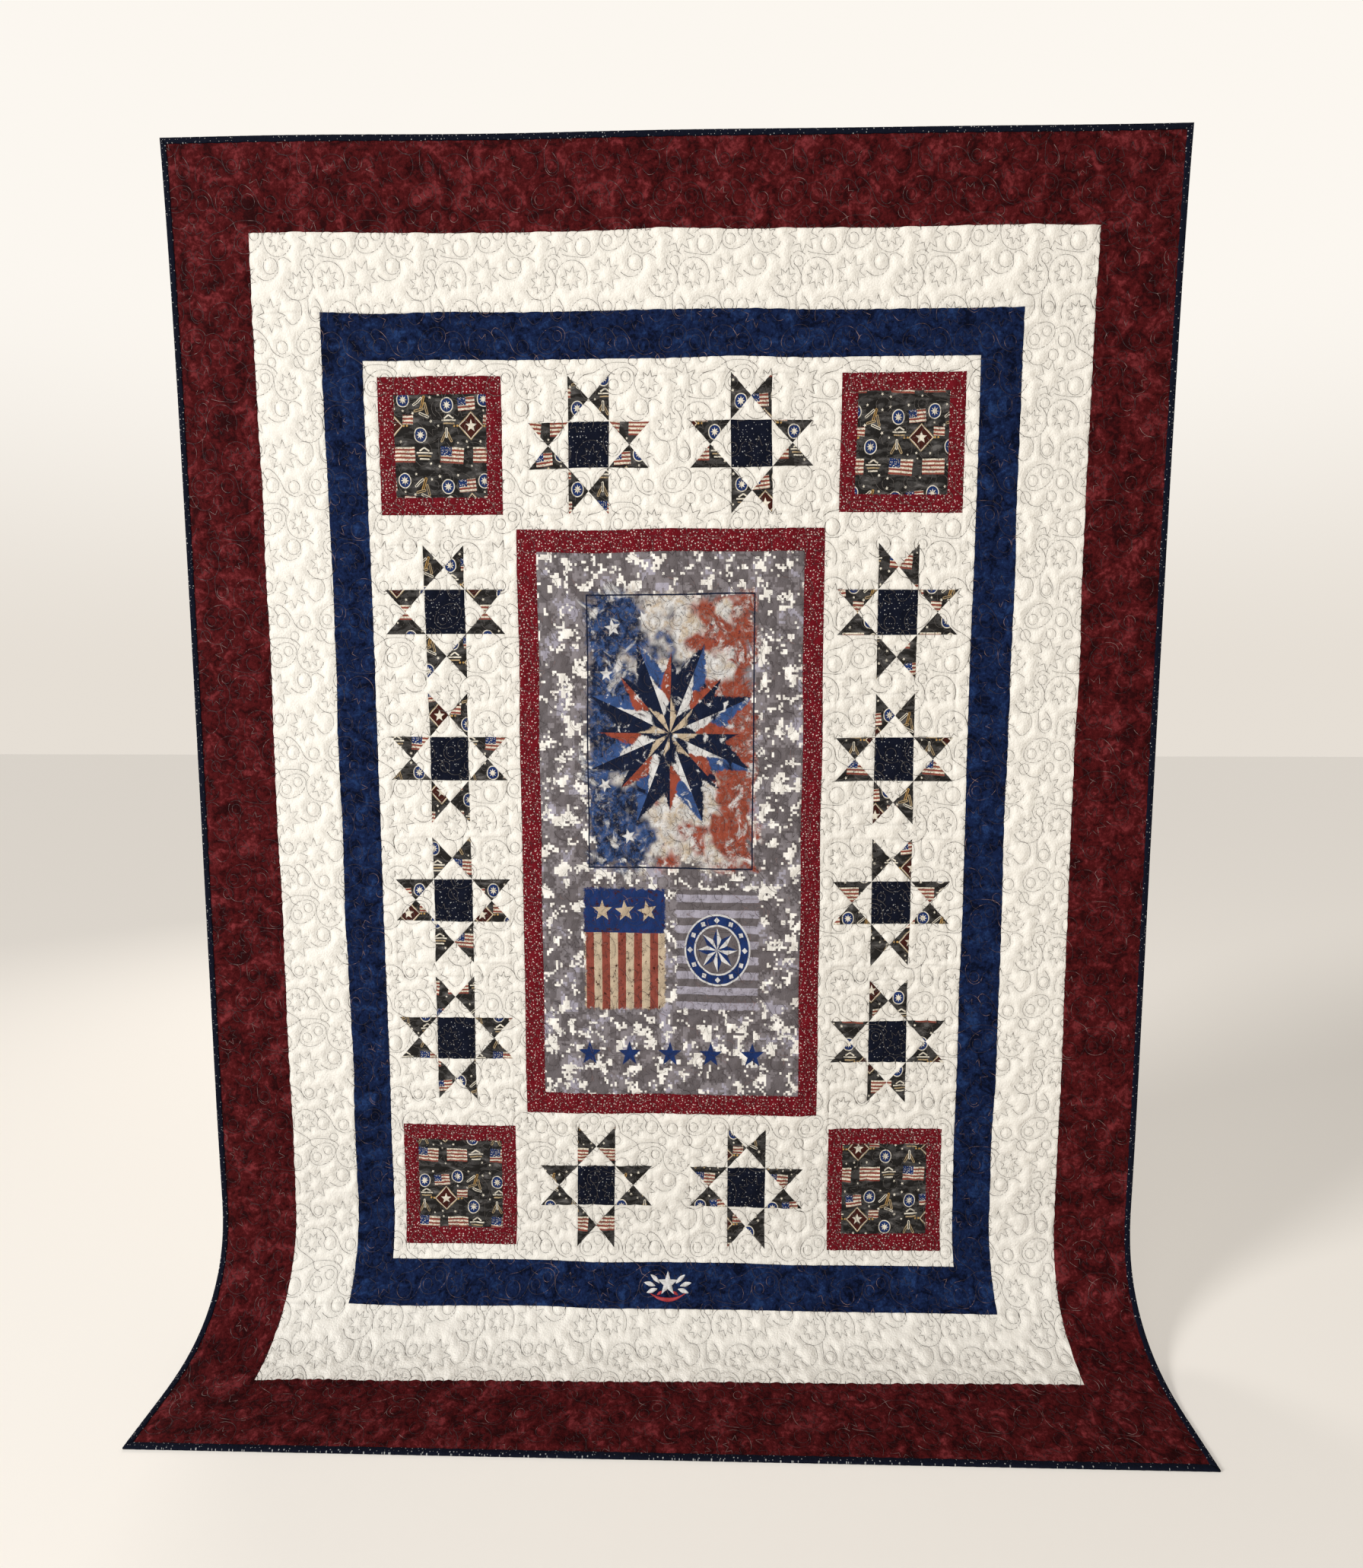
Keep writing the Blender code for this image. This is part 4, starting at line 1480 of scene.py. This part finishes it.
def make_thread_finish():
    """Thread with painted shade at each needle hole; on dark cloth it is painted dark as shade, with a few
    painted glints.
    """
    material, tree, shader = new_material("quilting_thread", roughness=0.5, gloss=0.3)
    cycle = calc(tree, "FRACT", calc(tree, "DIVIDE", stored_value(tree, "along"), STITCH_LENGTH))
    # Painted shade: the thread is darkened where it dips into each needle hole.
    needle_hole_shade = spread(tree, calc(tree, "ABSOLUTE", calc(tree, "SUBTRACT", cycle, 0.5)), 0.36, 0.48)
    colour = dye(tree, calc(tree, "MULTIPLY", needle_hole_shade, 0.7), THREAD_COLOUR, NEEDLE_HOLE_SHADE)
    place_on_piece = tree.nodes.new("ShaderNodeTexCoord").outputs["Object"]
    # Painted shade and painted highlights: on dark cloth the thread is painted nearly black, with scattered
    # glints.
    painted_glint = spread(tree, noise(tree, place_on_piece, PAINTED_GLINTS_PER_METRE, 1.0), 0.56, 0.66)
    shade_and_glints_on_dark = dye(tree, painted_glint, PAINTED_SHADE_ON_DARK_CLOTH, PAINTED_GLINT_COLOUR)
    colour = dye(tree, stored_value(tree, "painted_shade_and_glints"), colour, shade_and_glints_on_dark)
    join(tree, colour, shader.inputs["Base Color"])
    return material


thread_finish = make_thread_finish()
ROWS_IN_UPPER_HALF = 5
upper_rows = range(ROWS_IN_UPPER_HALF)
lower_rows = range(ROWS_IN_UPPER_HALF, ROW_COUNT)
front_repeat = one_repeat_of_thread(THREAD_SECTION)
back_repeat = one_repeat_of_thread(BACK_THREAD_SECTION)
sew("quilting_thread_upper", upper_rows, front_lift, 1, front_repeat)
sew("quilting_thread_lower", lower_rows, front_lift, 1, front_repeat)
sew("back_thread_upper", upper_rows, back_lift, -1, back_repeat)
sew("back_thread_lower", lower_rows, back_lift, -1, back_repeat)

# The embroidered motif
# A small satin-stitched spray on the lower navy border: a white star between leaves, over a red ribbon.
# Each shape is a padded patch of close thread, stitched down on the finished quilt.
MOTIF_MIDDLE = (-0.17, 78.50)
SATIN_LIFT = 0.0006
SATIN_PADDING = 0.0012
SATIN_RINGS = 4
SATIN_SIDES = 60
LEAF_POINT = 1.35
SATIN_THREADS = 2600.0
SATIN_DEPTH = 0.0004
WHITE_SATIN = (0.640, 0.620, 0.600, 1.0)
WHITE_SATIN_SHADE = (0.330, 0.320, 0.330, 1.0)
RED_SATIN = (0.400, 0.030, 0.035, 1.0)
RED_SATIN_SHADE = (0.180, 0.010, 0.014, 1.0)
WHITE_SHAPES = table(
    "spot long wide tips turn bend",
    ((0.0, -0.10), 0.82, 0.34, 5, -90, 0.0),
    ((-0.98, -0.42), 0.46, 0.15, 2, 38, 0.10),
    ((0.98, -0.42), 0.46, 0.15, 2, -38, 0.10),
    ((-1.40, -0.08), 0.46, 0.15, 2, 14, 0.10),
    ((1.40, -0.08), 0.46, 0.15, 2, -14, 0.10),
    ((-1.22, 0.34), 0.44, 0.15, 2, -16, 0.10),
    ((1.22, 0.34), 0.44, 0.15, 2, 16, 0.10),
)
RED_SHAPES = table(
    "spot long wide tips turn bend",
    ((0.0, 0.92), 1.50, 0.13, 2, 0, -0.20),
    ((-0.62, 0.50), 0.24, 0.10, 2, -30, 0.0),
    ((0.62, 0.50), 0.24, 0.10, 2, 30, 0.0),
)


def satin_shape(builder, map_layer, row):
    """Adds one padded shape, a star of 5 tips or a leaf of 2, from its middle out to its edge."""
    made = bmesh.ops.create_grid(builder, x_segments=SATIN_RINGS, y_segments=SATIN_SIDES, size=1.0)["verts"]
    share = np.array([(corner.co.x + 1.0) / 2.0 for corner in made])
    angle = np.array([math.pi * (corner.co.y + 1.0) for corner in made])
    half_ray = math.pi / row["tips"]
    from_tip = half_ray - np.abs(angle % (2.0 * half_ray) - half_ray)
    if row["tips"] == 2:
        lengthwise = np.abs(np.cos(angle) / row["long"]) ** LEAF_POINT
        sideways = np.abs(np.sin(angle) / row["wide"]) ** LEAF_POINT
        reach = (lengthwise + sideways) ** (-1.0 / LEAF_POINT)
    else:
        sides = row["long"] * np.sin(from_tip) + row["wide"] * np.sin(half_ray - from_tip)
        reach = row["long"] * row["wide"] * math.sin(half_ray) / sides
    x = share * reach * np.cos(angle)
    y = share * reach * np.sin(angle)
    y_bent = y + row["bend"] * x**2
    lean = math.radians(row["turn"])
    across = MOTIF_MIDDLE[0] + row["spot"][0] + x * math.cos(lean) - y_bent * math.sin(lean)
    down = MOTIF_MIDDLE[1] + row["spot"][1] + x * math.sin(lean) + y_bent * math.cos(lean)
    across = across * INCH
    down = down * INCH * LENGTHWISE
    lift = net_value(front_lift, across, down) + SATIN_LIFT + SATIN_PADDING * np.sqrt(1.0 - share**2)
    points = place_on_quilt(across, down, lift)
    for corner, point, flat in zip(made, points, zip(x * INCH, y * INCH)):
        corner.co = point
        for loop in corner.link_loops:
            loop[map_layer].uv = flat


def embroider(name, rows, finish):
    """One piece of satin stitch from the shapes of one colour."""
    builder = bmesh.new()
    map_layer = builder.loops.layers.uv.new("cloth")
    for row in rows:
        satin_shape(builder, map_layer, row)
    bmesh.ops.remove_doubles(builder, verts=builder.verts, dist=1e-6)
    bmesh.ops.recalc_face_normals(builder, faces=builder.faces)
    if sum(face.normal.y * face.calc_area() for face in builder.faces) > 0.0:
        bmesh.ops.reverse_faces(builder, faces=builder.faces)
    finish_piece(mesh_from(builder, name), name, finish)


def satin_finish(name, colour, shade):
    """Close glossy threads lying across the shape, with painted shade between them."""
    material, tree, shader = new_material(name, roughness=0.42, gloss=0.35)
    threads = noise(tree, move(tree, "MULTIPLY", cloth_vector(tree), (SATIN_THREADS, 90.0, 1.0)), 1.0, 1.0)
    join(tree, dye(tree, spread(tree, threads, 0.34, 0.52), shade, colour), shader.inputs["Base Color"])
    emboss(tree, shader, threads, SATIN_DEPTH)
    return material


embroider("motif_white", WHITE_SHAPES, satin_finish("white_satin", WHITE_SATIN, WHITE_SATIN_SHADE))
embroider("motif_red", RED_SHAPES, satin_finish("red_satin", RED_SATIN, RED_SATIN_SHADE))

# The binding
# A doubled strip of the dark speckled navy is folded round the raw edge and sewn down on both faces.
# One strip covers each side, mitred at the corners; the stitching puckers its inner fold.
BINDING_SECTION = table(
    "inset lift",
    (0.0115, 0.0015),
    (0.0112, 0.0022),
    (0.0102, 0.0027),
    (0.0080, 0.0030),
    (0.0045, 0.0031),
    (0.0020, 0.0029),
    (0.0006, 0.0022),
    (0.0000, 0.0010),
)
BINDING_LINING = 0.0016
BINDING_FOLD = 0.0011
BINDING_STEP = 0.006
PUCKER = 0.0005
SWELL = 0.00025
PUCKER_LENGTH = 0.021
SHORT_PUCKER_LENGTH = 0.0137
SHORT_PUCKER_SHARE = 0.6
FOLD_PUCKER_LENGTH = 0.0334
FLAT_LIFT = 0.0016
SWELL_RISE = 0.0012
LOWEST_LIFT = -0.0040
FLOOR_NEAR = 0.3
WELD = 1e-5


def binding_outline():
    """Inset and lift round the folded strip: the front, the back and the inside of the fold."""
    front = [(row["inset"], row["lift"]) for row in BINDING_SECTION]
    back = [(inset, -lift) for inset, lift in reversed(front)]
    inside = [(BINDING_FOLD, -BINDING_LINING), (BINDING_FOLD, BINDING_LINING)]
    return np.array([*front, *back, *inside, front[0]])


def make_binding(side):
    """One side's folded strip, from a grid whose columns go round the fold."""
    outline = binding_outline()
    length = QUILT_WIDTH if side in ("top", "bottom") else QUILT_LENGTH
    steps = round(length / BINDING_STEP)
    builder = bmesh.new()
    add_grid(builder, len(outline) - 1, steps, (0.5, 0.5), (0.5, 0.5))
    mesh = mesh_from(builder, f"binding_{side}")
    shares = points_of(mesh)
    spots = np.rint(shares[:, 0] * (len(outline) - 1)).astype(int)
    inset, lift = outline[spots, 0], outline[spots, 1]
    along = inset + (length - 2.0 * inset) * shares[:, 1]
    swell = np.sin(math.tau * along / PUCKER_LENGTH)
    swell += SHORT_PUCKER_SHARE * np.sin(math.tau * along / SHORT_PUCKER_LENGTH + 1.0)
    visible = np.clip((np.abs(lift) - FLAT_LIFT) / SWELL_RISE, 0.0, 1.0)
    lift = lift + np.sign(lift) * SWELL * swell * visible
    inner_fold = (spots < 2) | (spots == len(outline) - 1)
    inset = inset + PUCKER * np.sin(math.tau * along / FOLD_PUCKER_LENGTH) * inner_fold
    across, down = {
        "top": (along - QUILT_WIDTH / 2, inset),
        "bottom": (along - QUILT_WIDTH / 2, QUILT_LENGTH - inset),
        "left": (inset - QUILT_WIDTH / 2, along),
        "right": (QUILT_WIDTH / 2 - inset, along),
    }[side]
    near_floor = [TURN_START + FLOOR_NEAR, TURN_START + TURN_LENGTH]
    floor_clear = np.interp(down, near_floor, [LOWEST_LIFT, BACK_LIFT])
    lift = np.maximum(lift, floor_clear)
    add_cloth_map(mesh, along, inset * np.where(lift > 0.0, 1.0, -1.0))
    move_points(mesh, place(across, down, lift))
    closed = bmesh.new()
    closed.from_mesh(mesh)
    bmesh.ops.remove_doubles(closed, verts=closed.verts, dist=WELD)
    bmesh.ops.holes_fill(closed, edges=[edge for edge in closed.edges if edge.is_boundary], sides=0)
    bmesh.ops.recalc_face_normals(closed, faces=closed.faces)
    closed.to_mesh(mesh)
    closed.free()
    strip = finish_piece(mesh, f"edge_binding_{side}", speckled_navy)
    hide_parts(f"binding_{side}")


for edge in ("top", "bottom", "left", "right"):
    make_binding(edge)

# The floor, the light and the camera
# A plain pale floor under the lower end, soft light from the upper left, and the photograph's view.
FLOOR_SIZE = 30.0
FLOOR_GAP = 0.0003
FLOOR_COLOUR = (0.60, 0.56, 0.51, 1.0)
SURROUND_COLOUR = (0.973, 0.931, 0.871, 1.0)
AMBIENT = 0.38
HORIZON_COLOUR = (0.790, 0.735, 0.665, 1.0)
HORIZON_HEIGHT = 0.35
FLOOR_GLOW = 0.30
PHOTO_HEIGHT = 2061
FOCAL_PIXELS = 1218
SENSOR = 36.0
CAMERA_PLACE = (0.0660, -1.7907, -0.9931)
CAMERA_DIP = 6.2
CAMERA_SWING = 1.43
SUN_POWER = 2.32
SUN_WIDTH = 14.0
SUN_DIRECTION = (0.80, 0.46, -0.42)
LIGHTS = table(
    "name spot target size power colour",
    ("key_light", (-0.3, -2.6, 0.25), (0.1, 0.0, -0.7), 2.0, 22.0, (1.0, 0.975, 0.94)),
    ("window_light", (-2.3, -2.2, -1.0), (-0.2, 0.0, -1.8), 1.0, 26.0, (0.84, 0.92, 1.0)),
    ("back_light", (-1.8, 2.6, 0.2), (0.0, 0.0, -1.1), 1.6, 45.0, (1.0, 0.98, 0.95)),
)


def make_floor():
    """A wide pale floor that glows a little."""
    builder = bmesh.new()
    bmesh.ops.create_grid(builder, x_segments=1, y_segments=1, size=FLOOR_SIZE / 2)
    bmesh.ops.translate(builder, verts=builder.verts, vec=(0.0, 0.0, cad_low.z - FLOOR_GAP))
    mesh = mesh_from(builder, "floor")
    material, tree, shader = new_material("pale_floor", roughness=0.8)
    shader.inputs["Base Color"].default_value = FLOOR_COLOUR
    shader.inputs["Emission Color"].default_value = SURROUND_COLOUR
    shader.inputs["Emission Strength"].default_value = FLOOR_GLOW
    mesh.materials.append(material)
    ground = add_object("floor", mesh)


def aim(thing, direction):
    """Turns a light to shine along a direction."""
    thing.rotation_euler = Vector(direction).to_track_quat("-Z", "Y").to_euler()


def add_light(name, spot, target, size, power, colour):
    """A round soft light."""
    data = bpy.data.lights.new(name, "AREA")
    data.shape = "DISK"
    data.size = size
    data.energy = power
    data.color = colour
    light = add_object(name, data)
    light.location = spot
    aim(light, Vector(target) - Vector(spot))


make_floor()
for row in LIGHTS:
    add_light(**row)
sun = bpy.data.lights.new("side_light", "SUN")
sun.energy = SUN_POWER
sun.angle = math.radians(SUN_WIDTH)
aim(add_object("side_light", sun), SUN_DIRECTION)

world = bpy.data.worlds.new("surround")
world.use_nodes = True
sky = world.node_tree
backdrop = sky.nodes["Background"]
backdrop.inputs["Strength"].default_value = 1.0
direction = parts_of(sky, sky.nodes.new("ShaderNodeTexCoord").outputs["Generated"])
height = spread(sky, direction[2], 0.0, HORIZON_HEIGHT)
join(sky, dye(sky, height, HORIZON_COLOUR, SURROUND_COLOUR), backdrop.inputs["Color"])
ambient = sky.nodes.new("ShaderNodeBackground")
ambient.inputs["Color"].default_value = SURROUND_COLOUR
ambient.inputs["Strength"].default_value = AMBIENT
seen_directly = sky.nodes.new("ShaderNodeLightPath")
either = sky.nodes.new("ShaderNodeMixShader")
join(sky, seen_directly.outputs["Is Camera Ray"], either.inputs["Fac"])
join(sky, ambient.outputs["Background"], either.inputs[1])
join(sky, backdrop.outputs["Background"], either.inputs[2])
join(sky, either.outputs["Shader"], sky.nodes["World Output"].inputs["Surface"])
bpy.context.scene.world = world

lens = bpy.data.cameras.new("camera")
lens.sensor_width = SENSOR
lens.lens = FOCAL_PIXELS / PHOTO_HEIGHT * SENSOR
camera = add_object("camera", lens)
camera.location = CAMERA_PLACE
camera.rotation_euler = (math.radians(90.0 - CAMERA_DIP), 0.0, math.radians(CAMERA_SWING))
bpy.context.scene.camera = camera
bpy.context.scene.view_settings.view_transform = "Standard"
